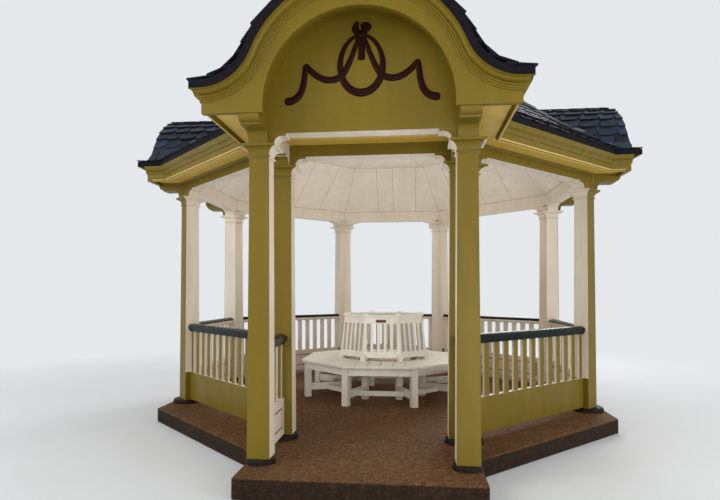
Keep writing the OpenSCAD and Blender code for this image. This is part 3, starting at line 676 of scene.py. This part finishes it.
def lay(mesh, line, place, low, high, over, seed, mirror=False):
    """Slates one roof side. place turns (across, out, up) into a point,
    low and high give the ends of the side at a length s up the roof, and
    over says how far a point lies above the other roofs."""
    rng = random.Random(seed)
    length = total_length(line)
    count = course = 0
    while course * EXPOSED < length - 0.02:
        tail = course * EXPOSED
        head = min(tail + SLATE_LONG, length)
        (ox, oz), (nx, nz) = at_length(line, tail)
        (hx, hz), (mx, mz) = at_length(line, head)
        lift = TAIL_LIFT if course else 0.004
        ox, oz = ox + nx * lift, oz + nz * lift
        hx, hz = hx + mx * 0.0005, hz + mz * 0.0005
        span = math.hypot(hx - ox, hz - oz)
        ux, uz = (hx - ox) / span, (hz - oz) / span
        tx, tz = uz * SLATE_THICK, -ux * SLATE_THICK
        if tx * nx + tz * nz < 0:
            tx, tz = -tx, -tz
        a = low(tail) - rng.uniform(0.0, 0.18)
        while a < high(tail):
            width = rng.uniform(NARROW, WIDE)
            pts = [(p, min(q, span)) for p, q
                   in slate_outline(a, width, rng)]
            if mirror:
                pts = [(2 * a + width - p, q) for p, q in reversed(pts)]
            a += width
            pts = clip(pts, lambda p: p[0] - low(tail) - (
                low(head) - low(tail)) * p[1] / span)
            if len(pts) > 2:
                pts = clip(pts, lambda p: high(tail) + (
                    high(head) - high(tail)) * p[1] / span - p[0])
            # What would lie deep under the other roof is cut off, so that
            # no slate comes out through a gable board below it.
            if len(pts) > 2:
                pts = clip(pts, lambda p: SLATE_BURIED + over(
                    place(p[0], ox + ux * p[1], oz + uz * p[1])))
            if len(pts) < 3:
                continue
            if max(p[0] for p in pts) - min(p[0] for p in pts) < 0.01:
                continue
            lower = [place(p, ox + ux * q, oz + uz * q) for p, q in pts]
            if all(over(p) < -0.01 for p in lower):
                continue
            upper = [place(p, ox + ux * q + tx, oz + uz * q + tz)
                     for p, q in pts]
            slab(mesh, lower, upper)
            count += 1
        course += 1
    return count


def to_object(mesh, name, slot, *finishes):
    """Turns a bmesh into a piece that rides on the bandstand."""
    data = bpy.data.meshes.new(name)
    bmesh.ops.recalc_face_normals(mesh, faces=mesh.faces)
    mesh.to_mesh(data)
    mesh.free()
    for finish in finishes:
        data.materials.append(finish)
    piece = bpy.data.objects.new(name, data)
    bpy.context.scene.collection.objects.link(piece)
    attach(piece, "root")
    return piece


# %% Slates on the gables
def slate_gable(g, name):
    mesh = bmesh.new()
    front = gable_line(g) + VERGE
    turn = turned(2 * g)
    count = 0
    for side in (-1, 1):
        def place(across, out, up, side=side):
            return turn(side * out, -front + across, up)

        count += lay(mesh, OGEE, place, lambda at: 0.003,
                     lambda at: front - GABLE_END,
                     lambda p: p.z - tent_height(p.x, p.y),
                     seed=10 + 2 * g + side, mirror=side < 0)
    to_object(mesh, name, "slate", slate, slate_edge_shade)
    return count


for g, name in enumerate(SIDES):
    print("gable", name, slate_gable(g, "slates_gable_" + name), "slates")


# %% Slates on the tent
def slate_tent(k):
    mesh = bmesh.new()
    straight = k % 2 == 0
    edge = EAVE_CORNER if straight else EAVE_LINE
    half = EAVE_BAY if straight else (EAVE_CORNER - EAVE_BAY) / math.sqrt(2)
    line = tent_profile(edge)
    length = total_length(line)
    turn = turned(k)

    def place(across, out, up):
        return turn(across, -out, up)

    def share(at):
        return at_length(line, min(at, length))[0][0] / edge

    count = lay(mesh, line, place, lambda at: -half * share(at),
                lambda at: half * share(at),
                lambda p: p.z - gable_height(p.x, p.y), seed=40 + k)
    to_object(mesh, "slates_tent_%d" % k, "slate", slate, slate_edge_shade)
    return count


for k in range(8):
    print("tent side", k, slate_tent(k), "slates")

# %% [markdown]
# ## Ridges, hips and valleys
# On the round ridge of a gable a last row of slates lies across the crown.
# Along each hip of the tent two narrow slates meet over the capping. Where
# a gable runs into the tent there is a valley, and a strip of sheet lead
# lies in it and shows as a thin light line. The valley is found by walking
# across the gable and asking where both roofs are equally high.


# %% Ridge and hip slates
RIDGE_HALF, HIP_WIDE, HIP_LONG = 0.11, 0.105, 0.2
HIP_FIRST, HIP_LAST, HIP_HEAD = 0.3, 0.10, 0.05
THICK = Vector((0, 0, SLATE_THICK))


def ridge_slates(g, name):
    mesh = bmesh.new()
    front = gable_line(g) + VERGE
    turn = turned(2 * g)
    crown = OGEE[-1][1]
    at, count = 0.003, 0
    while at < front - GABLE_END:
        tail, head = at - front, at - front + SLATE_LONG
        lower = [turn(u, y, crown + rise) for u, y, rise in (
            (-RIDGE_HALF, tail, 0.015), (RIDGE_HALF, tail, 0.015),
            (RIDGE_HALF, head, 0.003), (-RIDGE_HALF, head, 0.003))]
        if max(p.z - tent_height(p.x, p.y) for p in lower) > 0:
            slab(mesh, lower, [p + THICK for p in lower])
            count += 1
        at += EXPOSED
    to_object(mesh, name, "slate", slate, slate_edge_shade)
    return count


def hip_slates(name, corner):
    """Pairs of slates over the hip that runs up from a corner."""
    mesh = bmesh.new()
    reach = math.hypot(*corner)
    out = Vector((*corner, 0)).normalized()
    side = Vector((-out.y, out.x, 0))

    def roof(p, lift):
        z = max(tent_height(p.x, p.y), Z_EAVE + ROOF_T)
        return Vector((p.x, p.y, z + lift))

    count, at = 0, HIP_FIRST
    while at < reach - HIP_LAST:
        tail, head = reach - at, max(reach - at - HIP_LONG, HIP_HEAD)
        for way in (-1, 1):
            pts = ((tail, 0.0, 0.046), (tail, HIP_WIDE, 0.034),
                   (head, HIP_WIDE, 0.026), (head, 0.0, 0.036))
            lower = [roof(out * r + side * way * w, lift)
                     for r, w, lift in pts]
            if all(p.z < gable_height(p.x, p.y) + 0.01 for p in lower):
                continue
            slab(mesh, lower, [p + THICK for p in lower])
            count += 1
        at += EXPOSED
    to_object(mesh, name, "slate", slate, slate_edge_shade)
    return count


for g, name in enumerate(SIDES):
    print("ridge", name, ridge_slates(g, "slates_ridge_" + name), "slates")
corners = [(x * a, y * b) for x in (-1, 1) for y in (-1, 1)
           for a, b in ((EAVE_CORNER, EAVE_BAY), (EAVE_BAY, EAVE_CORNER))]
for k, corner in enumerate(corners):
    print("hip", k, hip_slates("slates_hip_%d" % k, corner), "slates")

# %% Sheet lead
lead = patchy("sheet_lead", 83, ((0.3, "#5f646a"), (0.7, "#8b9095")), 0.25,
              {"Metallic": 0.7, "Roughness": 0.55})
LEAD_HALF, LEAD_THICK = 0.034, Vector((0, 0, 0.003))
LEAD_REACH, LEAD_STEPS = EAVE_HALF * 0.96, 40


def valley_point(u):
    """Where the gable, u across from its ridge, meets the tent."""
    top = ogee_height(u)
    low, high = 0.0, EAVE_CORNER
    for _ in range(30):
        middle = (low + high) / 2
        if tent_height(u, -middle) > top:
            low = middle
        else:
            high = middle
    return Vector((u, -(low + high) / 2))


def valley_lead(mesh, g, way):
    """A shallow trough of sheet lead, folded along its middle."""
    turn = turned(2 * g)
    path = [valley_point(way * LEAD_REACH * (1 - i / LEAD_STEPS))
            for i in range(LEAD_STEPS + 1)]
    rows = []
    for i, p in enumerate(path):
        run = (path[min(i + 1, LEAD_STEPS)] - path[max(i - 1, 0)]).normalized()
        aside = Vector((-run.y, run.x)) * LEAD_HALF
        if aside.x * way > 0:
            aside = -aside
        on_gable, on_tent = p + aside, p - aside
        rows.append([turn(q.x, q.y, max(z, Z_EAVE + ROOF_T) + lift)
                     for q, z, lift in (
                         (on_gable, ogee_height(on_gable.x), 0.038),
                         (p, ogee_height(p.x), 0.034),
                         (on_tent, tent_height(on_tent.x, on_tent.y), 0.038))])
    top = [[mesh.verts.new(p) for p in row] for row in rows]
    low = [[mesh.verts.new(p - LEAD_THICK) for p in row] for row in rows]
    for a, b, c, d in zip(top, top[1:], low, low[1:]):
        for j in (0, 1):
            mesh.faces.new((a[j], a[j + 1], b[j + 1], b[j]))
            mesh.faces.new((c[j], d[j], d[j + 1], c[j + 1]))
        mesh.faces.new((a[0], b[0], d[0], c[0]))
        mesh.faces.new((a[2], c[2], d[2], b[2]))


valleys = bmesh.new()
for g in range(4):
    for way in (-1, 1):
        valley_lead(valleys, g, way)
to_object(valleys, "valley_lead", "hip_metal", lead)
print("lead laid in 8 valleys")

# %% [markdown]
# ## Verge mouldings
# Along each ogee a joiner ran a crown moulding under the slates and three
# beads below it. Its profile is drawn once, as [above the ogee, in front
# of the board], and every point of it follows its own offset of the ogee.
# At both ends it is cut at 45 degrees, so each line of it runs on until it
# meets the moulding of the eaves.

# %% Profile of the verge moulding
EAVE_FACE = 1.132


def cyma(low, high, steps=8):
    """A double curve from one point to another."""
    line = []
    for i in range(steps + 1):
        t = i / steps
        bend = math.sin(2 * math.pi * t) / 13
        line.append((low[0] + (high[0] - low[0]) * (t - bend),
                     low[1] + (high[1] - low[1]) * (t + bend)))
    return line


def bead(middle, radius, proud, steps=6):
    return [(middle + radius * math.cos(math.pi * i / steps),
             proud + radius * math.sin(math.pi * i / steps))
            for i in range(steps + 1)]


VERGE_PROFILE = [(0.0, 0.0), (0.0, 0.082), (-0.005, 0.082)]
VERGE_PROFILE += cyma((-0.006, 0.079), (-0.030, 0.024))
for middle, radius, proud in ((-0.040, 0.0075, 0.012), (-0.057, 0.007, 0.009),
                              (-0.074, 0.0065, 0.006)):
    VERGE_PROFILE += bead(middle, radius, proud)
VERGE_PROFILE += [(-0.082, 0.004), (-0.082, 0.0)]


verges = bmesh.new()
for g in range(4):
    turn = turned(2 * g)
    lines = []
    for off, proud in VERGE_PROFILE:
        half = ogee_line(off, EAVE_FACE + proud)
        y = -(gable_line(g) + BOARD_FRONT + proud)
        lines.append([turn(x, y, z) for x, z in
                      half + [(-x, z) for x, z in half[-2::-1]]])
    loft(verges, zip(*lines))
mouldings = to_object(verges, "verge_crown_and_beads", "ochre_paint",
                      painted("ochre_oil_paint", OCHRE_WITH_SHADE, run=EVERY))
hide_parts("verge_mouldings")
print("verge mouldings", len(mouldings.data.polygons), "faces")

# %% [markdown]
# ## Cornice
# The cornice follows the eaves round each corner of the roof: a fascia
# with a rounded foot, and a crown moulding on it. Both are swept along the
# same line and mitred at its bends, as a joiner would cut them. Underneath,
# the foot of the fascia has the paler paint of the soffit boards.

# %% Cornice round the eaves
Z_BOARDS = 2.820
CROWN = [(0.0, Z_EAVE), (0.0, 2.865), (0.008, 2.865)]
CROWN += [(x, z) for x, z in cyma((0.009, 2.871), (0.056, 2.934))]
CROWN += [(0.062, 2.939), (0.062, Z_EAVE)]
FASCIA = [(-0.030, Z_EAVE), (-0.030, 2.832), (-0.054, 2.832),
          (-0.052, 2.820), (-0.036, 2.789), (-0.033, 2.787),
          (-0.022, 2.787), (-0.018, 2.790), (-0.014, 2.800),
          (-0.006, 2.811), (-0.001, 2.823), (0.0, 2.832), (0.0, Z_EAVE)]
FASCIA_LINE = 2.588
FASCIA_TURN = FASCIA_LINE * math.sqrt(2) - GABLE_HALF
BOARD_BACK = BOARD_FRONT - 0.045


def mitred(mesh, way, profile, q):
    """Sweeps a profile of [out, up] along a way of [x, y] points."""
    spots = [Vector(p) for p in way]
    outs = []
    for a, b in zip(spots, spots[1:]):
        run = (b - a).normalized()
        outs.append(Vector((run.y, -run.x)))
    corners = [outs[0]]
    for a, b in zip(outs, outs[1:]):
        corners.append((a + b) / (1 + a.dot(b)))
    corners.append(outs[-1])
    turn = turned(2 * q)
    loft(mesh, [[turn(*(at + side * out), up) for out, up in profile]
                for at, side in zip(spots, corners)])


cornice = bmesh.new()
for q in range(4):
    for profile, reach in ((CROWN, 0.053), (FASCIA, 0.0)):
        first = gable_line(q) + BOARD_BACK + reach
        last = gable_line((q + 1) % 4) + BOARD_BACK + reach
        mitred(cornice, [(GABLE_HALF, -first), (GABLE_HALF, -FASCIA_TURN),
                         (FASCIA_TURN, -GABLE_HALF), (last, -GABLE_HALF)],
               profile, q)
eaves = to_object(cornice, "mitred_cornice", "ochre_paint",
                  painted("cornice_paint", OCHRE_WITH_SHADE, run=LEVEL),
                  painted("fascia_foot_paint", "#c9a95c", run=LEVEL))
for face in eaves.data.polygons:
    if face.normal.z < -0.5 and face.center.z < Z_BOARDS:
        face.material_index = 1
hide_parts("cornice_front", "cornice_back")
print("cornice mitred at 8 corners")

# %% [markdown]
# ## Railings
# The frame has the railings as sturdy plain boards. The real balusters are
# thin, so one looks through between them even from the side, and a groove
# runs round the field of each panel. A railing is drawn flat here, [along,
# inward, up], and then turned into its bay. Posts taper, so it is longer at
# the top than at the foot.

# %% Railing sizes
Z_FOOT, Z_NECK, Z_RAIL_FOOT = 0.200, 2.512, 1.023
PANEL_FOOT, PANEL_T = 0.209, 0.056
SLAT_T, SLAT_W, SLAT_PITCH, STILE_W = 0.020, 0.072, 0.151, 0.052
GROOVE = ((0.072, 0.0), (0.073, 0.008), (0.085, 0.008), (0.086, 0.0))
POST_LEG, PORCH_HALF = 0.176, 0.798
DIAG_HALF = (POST_LINE - BAY_HALF) / math.sqrt(2)
# The faces of the grooves are painted darker, as painted shade in them.
groove_shade_paint = painted("groove_shade_paint", "#8d7143", run=EVERY)


def taper_at(z):
    return 1 - (1 - POST_TAPER) * (z - Z_FOOT) / (Z_NECK - Z_FOOT)


def level_with(outline, depth):
    return [(x, depth, z) for x, z in outline]


def railing(mesh, put, reach_at):
    """Panel with a grooved field, balusters and a wider board at each end.
    reach_at gives its half length at a height, put sets a point in place."""
    def body(rings):
        return loft(mesh, [[put(*p) for p in ring] for ring in rings])

    low_half, high_half = reach_at(Z_FOOT), reach_at(Z_RAIL_FOOT)
    rise = (PANEL_TOP - PANEL_FOOT) / (Z_RAIL_FOOT - PANEL_FOOT)
    mid = low_half + (high_half - low_half) * rise
    t = PANEL_T / 2
    edge = [(-low_half, PANEL_FOOT), (low_half, PANEL_FOOT),
            (mid, PANEL_TOP), (-mid, PANEL_TOP)]
    rings = [level_with(edge, -t), level_with(edge, t)]
    for margin, sunk in GROOVE:
        x, low, high = (low_half - margin, PANEL_FOOT + margin,
                        PANEL_TOP - margin)
        rings.append(level_with([(-x, low), (x, low), (x, high), (-x, high)],
                                t - sunk))
    # The groove takes the second material, its painted shade.
    for band in body(rings)[2:]:
        for face in band:
            face.material_index = 1
    run = 2 * mid - STILE_W
    count = round(run / SLAT_PITCH)
    slats = [(way * (mid - STILE_W), way * mid, way * high_half,
              way * (mid - STILE_W)) for way in (-1, 1)]
    for i in range(1, count):
        x = i * run / count - run / 2
        slats.append((x - SLAT_W / 2, x + SLAT_W / 2, x + SLAT_W / 2,
                      x - SLAT_W / 2))
    for xs in slats:
        outline = list(zip(xs, (PANEL_TOP, PANEL_TOP, Z_RAIL_FOOT,
                                Z_RAIL_FOOT)))
        body([level_with(outline, -SLAT_T / 2),
              level_with(outline, SLAT_T / 2)])
    return count - 1


# %% Railings in their bays
outside_in = painted("railing_paint", OCHRE_WITH_SHADE, CREAM, limit=0.5)
porch_in = painted("porch_railing_paint", OCHRE_WITH_SHADE, CREAM, limit=0.5,
                   sideways=True)
BAYS = ("front_right", "right", "back_right", "back", "back_left", "left",
        "front_left")
for k, name in enumerate(BAYS, start=1):
    half, line = ((BAY_HALF, POST_LINE) if k % 2 == 0
                  else (DIAG_HALF, DIAG_LINE))
    mesh = bmesh.new()
    slats = railing(mesh, turned(k, turned(k)(0, -line, 0)),
                    lambda z: half - (POST_LEG - POST_W * T22 / 2)
                    * taper_at(z))
    piece = to_object(mesh, "boarded_railing_" + name, "cream_paint",
                      outside_in, groove_shade_paint)
    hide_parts("railing_" + name)
    print("railing", name, slats, "balusters")
porch = bmesh.new()
for way in (-1, 1):
    railing(porch, turned(2 * way, (way * PORCH_HALF,
                                    -POST_LINE - PORCH_OUT / 2)),
            lambda z: (PORCH_OUT - POST_W * taper_at(z)) / 2)
piece = to_object(porch, "boarded_railings_porch", "cream_paint",
                  porch_in, groove_shade_paint)
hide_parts("railings_porch")
print("porch railings", len(piece.data.polygons), "faces")

# %% [markdown]
# ## Moulding under the eaves
# Where the soffit boards meet the beam, a small quarter-round moulding
# covers the joint. It is only 25 mm high, so it is swept here as a short
# profile along each beam.


# %% Bed moulding
BEAM, BED_HALF, BED_PORCH = 0.072, 1.06, (2.46, 3.10)
BED = [(0.0, -0.024), (0.008, -0.024), (0.010, -0.019), (0.016, -0.015),
       (0.021, -0.009), (0.023, -0.004), (0.027, -0.003), (0.027, 0.0),
       (0.0, 0.0)]


def sweep(mesh, put, line, start, end):
    """Sweeps the moulding along a beam, from start to end across."""
    loft(mesh, [[put(across, -line - out, Z_BOARDS + up) for out, up in BED]
                for across in (start, end)])


bed = bmesh.new()
for k in (1, 3, 5, 7):
    sweep(bed, turned(k), DIAG_LINE + BEAM, -BED_HALF, BED_HALF)
for way in (-1, 1):
    sweep(bed, turned(2 * way), PORCH_HALF + BEAM,
          *sorted(-way * y for y in BED_PORCH))
to_object(bed, "bed_moulding", "ochre_paint",
          painted("moulding_paint", OCHRE_WITH_SHADE, run=LEVEL))
print("bed moulding on 6 beams")

# %% [markdown]
# ## Garland
# The garland on the front gable is carved: a bow, an oval wreath and two
# swags with hanging ends. Each ribbon of it follows a smooth curve and is
# rounded across, so it is built as rows of a low dome along the curve.
# Its place and size are those of the plain one in the frame.


# %% Carved ribbons
def bezier(p, t):
    a, b, c, d = (Vector(q) for q in p)
    s = 1 - t
    at = a * s ** 3 + b * 3 * s * s * t + c * 3 * s * t * t + d * t ** 3
    run = (b - a) * s * s + (c - b) * 2 * s * t + (d - c) * t * t
    return at, run.normalized()


def ribbon(mesh, way, path, widths, proud=13.0, steps=16):
    """A rounded ribbon along a curve of four points in [across, up] mm.
    widths are those of its start, middle and end."""
    rows = []
    for i in range(-3, steps + 4):
        t = min(max(i / steps, 0), 1)
        at, run = bezier(path, t)
        w = (widths[0] * (1 - t) ** 2 + widths[1] * 2 * t * (1 - t)
             + widths[2] * t * t) / 2
        past = (-i if i < 0 else max(i - steps, 0)) / 3
        if past:
            at = at + run * (w * 0.7 * math.sin(past * math.pi / 2)) * (
                -1 if i < 0 else 1)
            w = w * max(math.cos(past * math.pi / 2), 0.06)
        side = Vector((-run.y, run.x))
        row = []
        for j in range(9):
            a = math.pi * j / 8
            q = at + side * (w * math.cos(a))
            rise = 1.5 + proud * (math.sin(a) ** 0.7) * (
                1 - 0.55 * past * past)
            row.append(mesh.verts.new((way * q.x, -rise, q.y)))
        rows.append(row)
    for a, b in zip(rows, rows[1:]):
        for j in range(8):
            mesh.faces.new((a[j], a[j + 1], b[j + 1], b[j]))
    rim = [r[0] for r in rows] + rows[-1][1:] + [
        r[-1] for r in rows[::-1]][1:] + rows[0][1:-1][::-1]
    back = [mesh.verts.new((v.co.x, 0.0, v.co.z)) for v in rim]
    for i in range(len(rim)):
        j = (i + 1) % len(rim)
        mesh.faces.new((rim[i], rim[j], back[j], back[i]))


# %% The garland from its ribbons
carving = bmesh.new()
for way in (-1, 1):
    # half of the wreath, thin at the bow and thick at the bottom
    ribbon(carving, way, ((10, 574), (100, 565), (165, 450), (163, 342)),
           (23, 32, 45))
    ribbon(carving, way, ((163, 342), (163, 225), (95, 133), (-4, 133)),
           (45, 55, 64))
    # a tail of the bow that runs into the wreath
    ribbon(carving, way, ((20, 556), (52, 490), (72, 380), (146, 272)),
           (28, 38, 48))
    # the swag and its hanging end
    ribbon(carving, way, ((150, 268), (225, 215), (320, 225), (428, 354)),
           (50, 54, 44))
    ribbon(carving, way, ((430, 354), (446, 270), (430, 90), (573, 83)),
           (40, 47, 62))
# the bow: two loops, the knot and two short ends
ribbon(carving, 1, ((-22, 592), (-52, 610), (-52, 640), (-30, 668)),
       (42, 78, 30), proud=18.0)
ribbon(carving, 1, ((16, 592), (26, 612), (32, 628), (35, 640)),
       (42, 68, 92), proud=18.0)
ribbon(carving, 1, ((-22, 578), (-8, 580), (8, 580), (22, 578)),
       (58, 76, 58), proud=24.0)
ribbon(carving, 1, ((-12, 560), (-14, 500), (-2, 450), (-8, 396)),
       (32, 28, 42))
ribbon(carving, 1, ((12, 560), (14, 500), (10, 450), (8, 396)),
       (32, 30, 40), proud=14.0)
bmesh.ops.scale(carving, vec=(0.001, 0.001, 0.001), verts=carving.verts)
back_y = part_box("garland")[1][1]
bmesh.ops.translate(carving, vec=(0, back_y, Z_SOFFIT),
                    verts=carving.verts)
print("garland", len(carving.faces), "faces, its back at y", round(back_y, 3))
garland = to_object(carving, "carved_garland", "dark_paint",
                    painted("garland_paint", "#240d08", run=EVERY,
                            ripple=18, level=0.06))
for face in garland.data.polygons:
    face.use_smooth = True
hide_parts("garland")

# %% [markdown]
# ## Joints of the ceiling
# The ceiling is lined with wide boards, and all that shows of them is thin
# dark joints: along the edges, up the corners, from the corners to the
# middle, and a few between boards. Each joint is a strip 5 mm wide that
# stands half a millimetre proud of the boards.

# %% Ceiling joints
joint_shadow, tree, place = new_material("joint_shadow")
grime = add(tree, "ShaderNodeTexNoise", {
    "Vector": place.outputs["Object"], "Scale": 1000 / 56, "Detail": 3.0})
dark = add(tree, "ShaderNodeMix", {
    "Factor": grime, 6: colour("#a59783"), 7: colour("#7d6f5e")},
    data_type="RGBA")
shader = add(tree, "ShaderNodeBsdfPrincipled", {
    "Base Color": dark.outputs[2], "Roughness": 0.9})
add(tree, "ShaderNodeOutputMaterial", {"Surface": shader})

CEIL_IN, CEIL_RISE = 0.684, 0.637
CEIL_TOP = Z_SOFFIT + CEIL_RISE
JOINT_W, JOINT_PROUD, JOINT_SUNK, BY_EDGE = 0.005, 0.0006, 0.0005, 0.004


def strip(mesh, a, b, up):
    """A flat strip from a to b on a surface whose normal is up."""
    side = (b - a).cross(up).normalized() * JOINT_W / 2
    corners = [a + side, b + side, b - side, a - side]
    loft(mesh, [[p - up * JOINT_SUNK for p in corners],
                [p + up * JOINT_PROUD for p in corners]])


joints = bmesh.new()
for k in range(8):
    straight = k % 2 == 0
    half, line = ((BAY_HALF, POST_LINE) if straight
                  else (DIAG_HALF, DIAG_LINE))
    spot = turned(k, turned(k)(0, -line, 0))
    down = turned(k)(0, CEIL_RISE, BEAM - CEIL_IN).normalized()
    h0, h1 = half - BEAM * T22, half - CEIL_IN * T22
    for reach, inward, z in ((h0, BEAM + BY_EDGE, Z_SOFFIT + BY_EDGE),
                             (h1, CEIL_IN - BY_EDGE, CEIL_TOP - BY_EDGE)):
        strip(joints, spot(-reach, inward, z), spot(reach, inward, z), down)
    for across in ((-0.43, -0.05, 0.21) if straight else (-0.48, 0.0, 0.46)):
        t = min(1.0, (half - abs(across) - BEAM * T22)
                / ((CEIL_IN - BEAM) * T22))
        strip(joints, spot(across, BEAM, Z_SOFFIT),
              spot(across, BEAM + (CEIL_IN - BEAM) * t,
                   Z_SOFFIT + CEIL_RISE * t), down)
    corner = spot(h1, CEIL_IN, CEIL_TOP)
    strip(joints, spot(h0, BEAM, Z_SOFFIT), corner, down)
    strip(joints, corner, Vector((0, 0, CEIL_TOP)), Vector((0, 0, -1)))
to_object(joints, "ceiling_joints", "cream_paint", joint_shadow)
print("ceiling joints drawn")

# %% [markdown]
# ## Plate on the bench
# A small bare plate of dark brown metal is screwed to the top rail of the
# backrest. It is laid on whatever face a ray from the front meets there.


# %% Bench plate
bronze, tree, place = new_material("browned_bronze")
tarnish = add(tree, "ShaderNodeTexNoise", {
    "Vector": place.outputs["Object"], "Scale": 1000 / 17, "Detail": 4.0})
brown = add(tree, "ShaderNodeMix", {
    "Factor": tarnish, 6: colour("#3a2418"), 7: colour("#6a4630")},
    data_type="RGBA")
shader = add(tree, "ShaderNodeBsdfPrincipled", {
    "Base Color": brown.outputs[2], "Metallic": 0.6, "Roughness": 0.45})
add(tree, "ShaderNodeOutputMaterial", {"Surface": shader})

LEFT, LOW, RIGHT, HIGH = -0.073, 1.106, 0.051, 1.141
BACKREST = -0.445
hits = []
for x, z in ((LEFT, LOW), (RIGHT, LOW), (RIGHT, HIGH), (LEFT, HIGH)):
    met, spot_at, _, _ = nodes["bench_back"].ray_cast(
        Vector((x, -1.5, z)), Vector((0, 1, 0)))
    hits.append(Vector(spot_at) if met else Vector((x, BACKREST, z)))
centre = sum(hits, Vector()) / 4
plate = bmesh.new()
loft(plate, [[centre + (h - centre) * size + Vector((0, y, 0)) for h in hits]
             for size, y in ((1, 0.0005), (1, -0.002), (0.96, -0.003))])
to_object(plate, "bench_plate", "bench_paint", bronze)
print("plate on the bench at y", [round(h.y, 3) for h in hits])

# %% [markdown]
# ## Light and floor
# The object stands on a plain pale floor under soft light from large
# lamps. They stand low enough to reach under the roof, and one faces the
# ceiling, because outdoors much of the light comes from below. The
# backdrop is a very pale grey, so that cream posts and slats stand out
# from it. The floor fades into the backdrop far from the object, where no
# shadow falls.

# %% World and backdrop
BACKDROP = colour("#e4e8eb")
world = bpy.data.worlds.new("studio")
bpy.context.scene.world = world
world.use_nodes = True
tree = world.node_tree
tree.nodes.clear()


def seen_directly(tree):
    """1 for what the camera sees, straight or in a reflection."""
    path = add(tree, "ShaderNodeLightPath")
    seen = path.outputs["Is Camera Ray"]
    for ray in ("Is Glossy Ray", "Is Transmission Ray"):
        seen = add(tree, "ShaderNodeMath", {0: seen, 1: path.outputs[ray]},
                   operation="MAXIMUM")
    return seen


lit = add(tree, "ShaderNodeBackground", {
    "Color": colour("#f6f8fb"), "Strength": 0.62})
shown = add(tree, "ShaderNodeBackground", {
    "Color": BACKDROP, "Strength": 1.0})
both = add(tree, "ShaderNodeMixShader", {
    0: seen_directly(tree), 1: lit, 2: shown})
add(tree, "ShaderNodeOutputWorld", {"Surface": both})


# %% Lamps
def lamp(name, place, aim, size, power):
    data = bpy.data.lights.new(name, "AREA")
    data.shape = "DISK"
    data.size = size
    data.energy = power
    new = bpy.data.objects.new(name, data)
    new.location = place
    new.rotation_euler = (Vector(aim) - Vector(place)).to_track_quat(
        "-Z", "Y").to_euler()
    new.visible_camera = False
    bpy.context.scene.collection.objects.link(new)


lamp("key", (-8, -9, 5), (0, 0, 2), 6.0, 500)
lamp("fill", (9, -8, 3), (0, 0, 2), 6.0, 400)
lamp("low_front", (1.5, -10, 0.9), (0, -1, 3), 4.0, 180)
lamp("back", (4, 10, 7), (0, 0, 2), 6.0, 620)
lamp("ceiling_bounce", (0, 0.06, 1.35), (0, 0.06, 3.5), 1.6, 24)

# %% Floor
floor_mesh = bpy.data.meshes.new("floor")
floor_mesh.from_pydata([(-90, -90, 0), (90, -90, 0), (90, 90, 0),
                        (-90, 90, 0)], [], [(0, 1, 2, 3)])
floor = bpy.data.objects.new("floor", floor_mesh)
floor.location.z = -0.0005
bpy.context.scene.collection.objects.link(floor)
floor_finish, tree, place = new_material("studio_floor")
mottle = add(tree, "ShaderNodeTexNoise", {
    "Vector": place.outputs["Object"], "Scale": 1000 / 1250})
pale = add(tree, "ShaderNodeMix", {
    "Factor": mottle, 6: colour("#e2e4e5"), 7: colour("#e9ebec")},
    data_type="RGBA")
matt = add(tree, "ShaderNodeBsdfPrincipled", {
    "Base Color": pale.outputs[2], "Roughness": 0.9})
backdrop = add(tree, "ShaderNodeEmission", {
    "Color": BACKDROP, "Strength": 1.0})
distance = add(tree, "ShaderNodeVectorMath", {
    0: place.outputs["Object"]}, operation="LENGTH")
fade = add(tree, "ShaderNodeMapRange", {
    "Value": distance.outputs["Value"], "From Min": 4.2, "From Max": 9.0,
    "To Min": 0.0, "To Max": 1.0}, interpolation_type="SMOOTHSTEP")
far_off = add(tree, "ShaderNodeMath", {
    0: fade, 1: seen_directly(tree)}, operation="MULTIPLY")
both = add(tree, "ShaderNodeMixShader", {0: far_off, 1: matt, 2: backdrop})
add(tree, "ShaderNodeOutputMaterial", {"Surface": both})
floor_mesh.materials.append(floor_finish)
floor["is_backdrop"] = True
bpy.context.scene.view_settings.view_transform = "Standard"
print("lamps and floor placed")

# %% Sizes and finish
low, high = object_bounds()
print("visual box", [round(v, 3) for v in (*low, *high)])
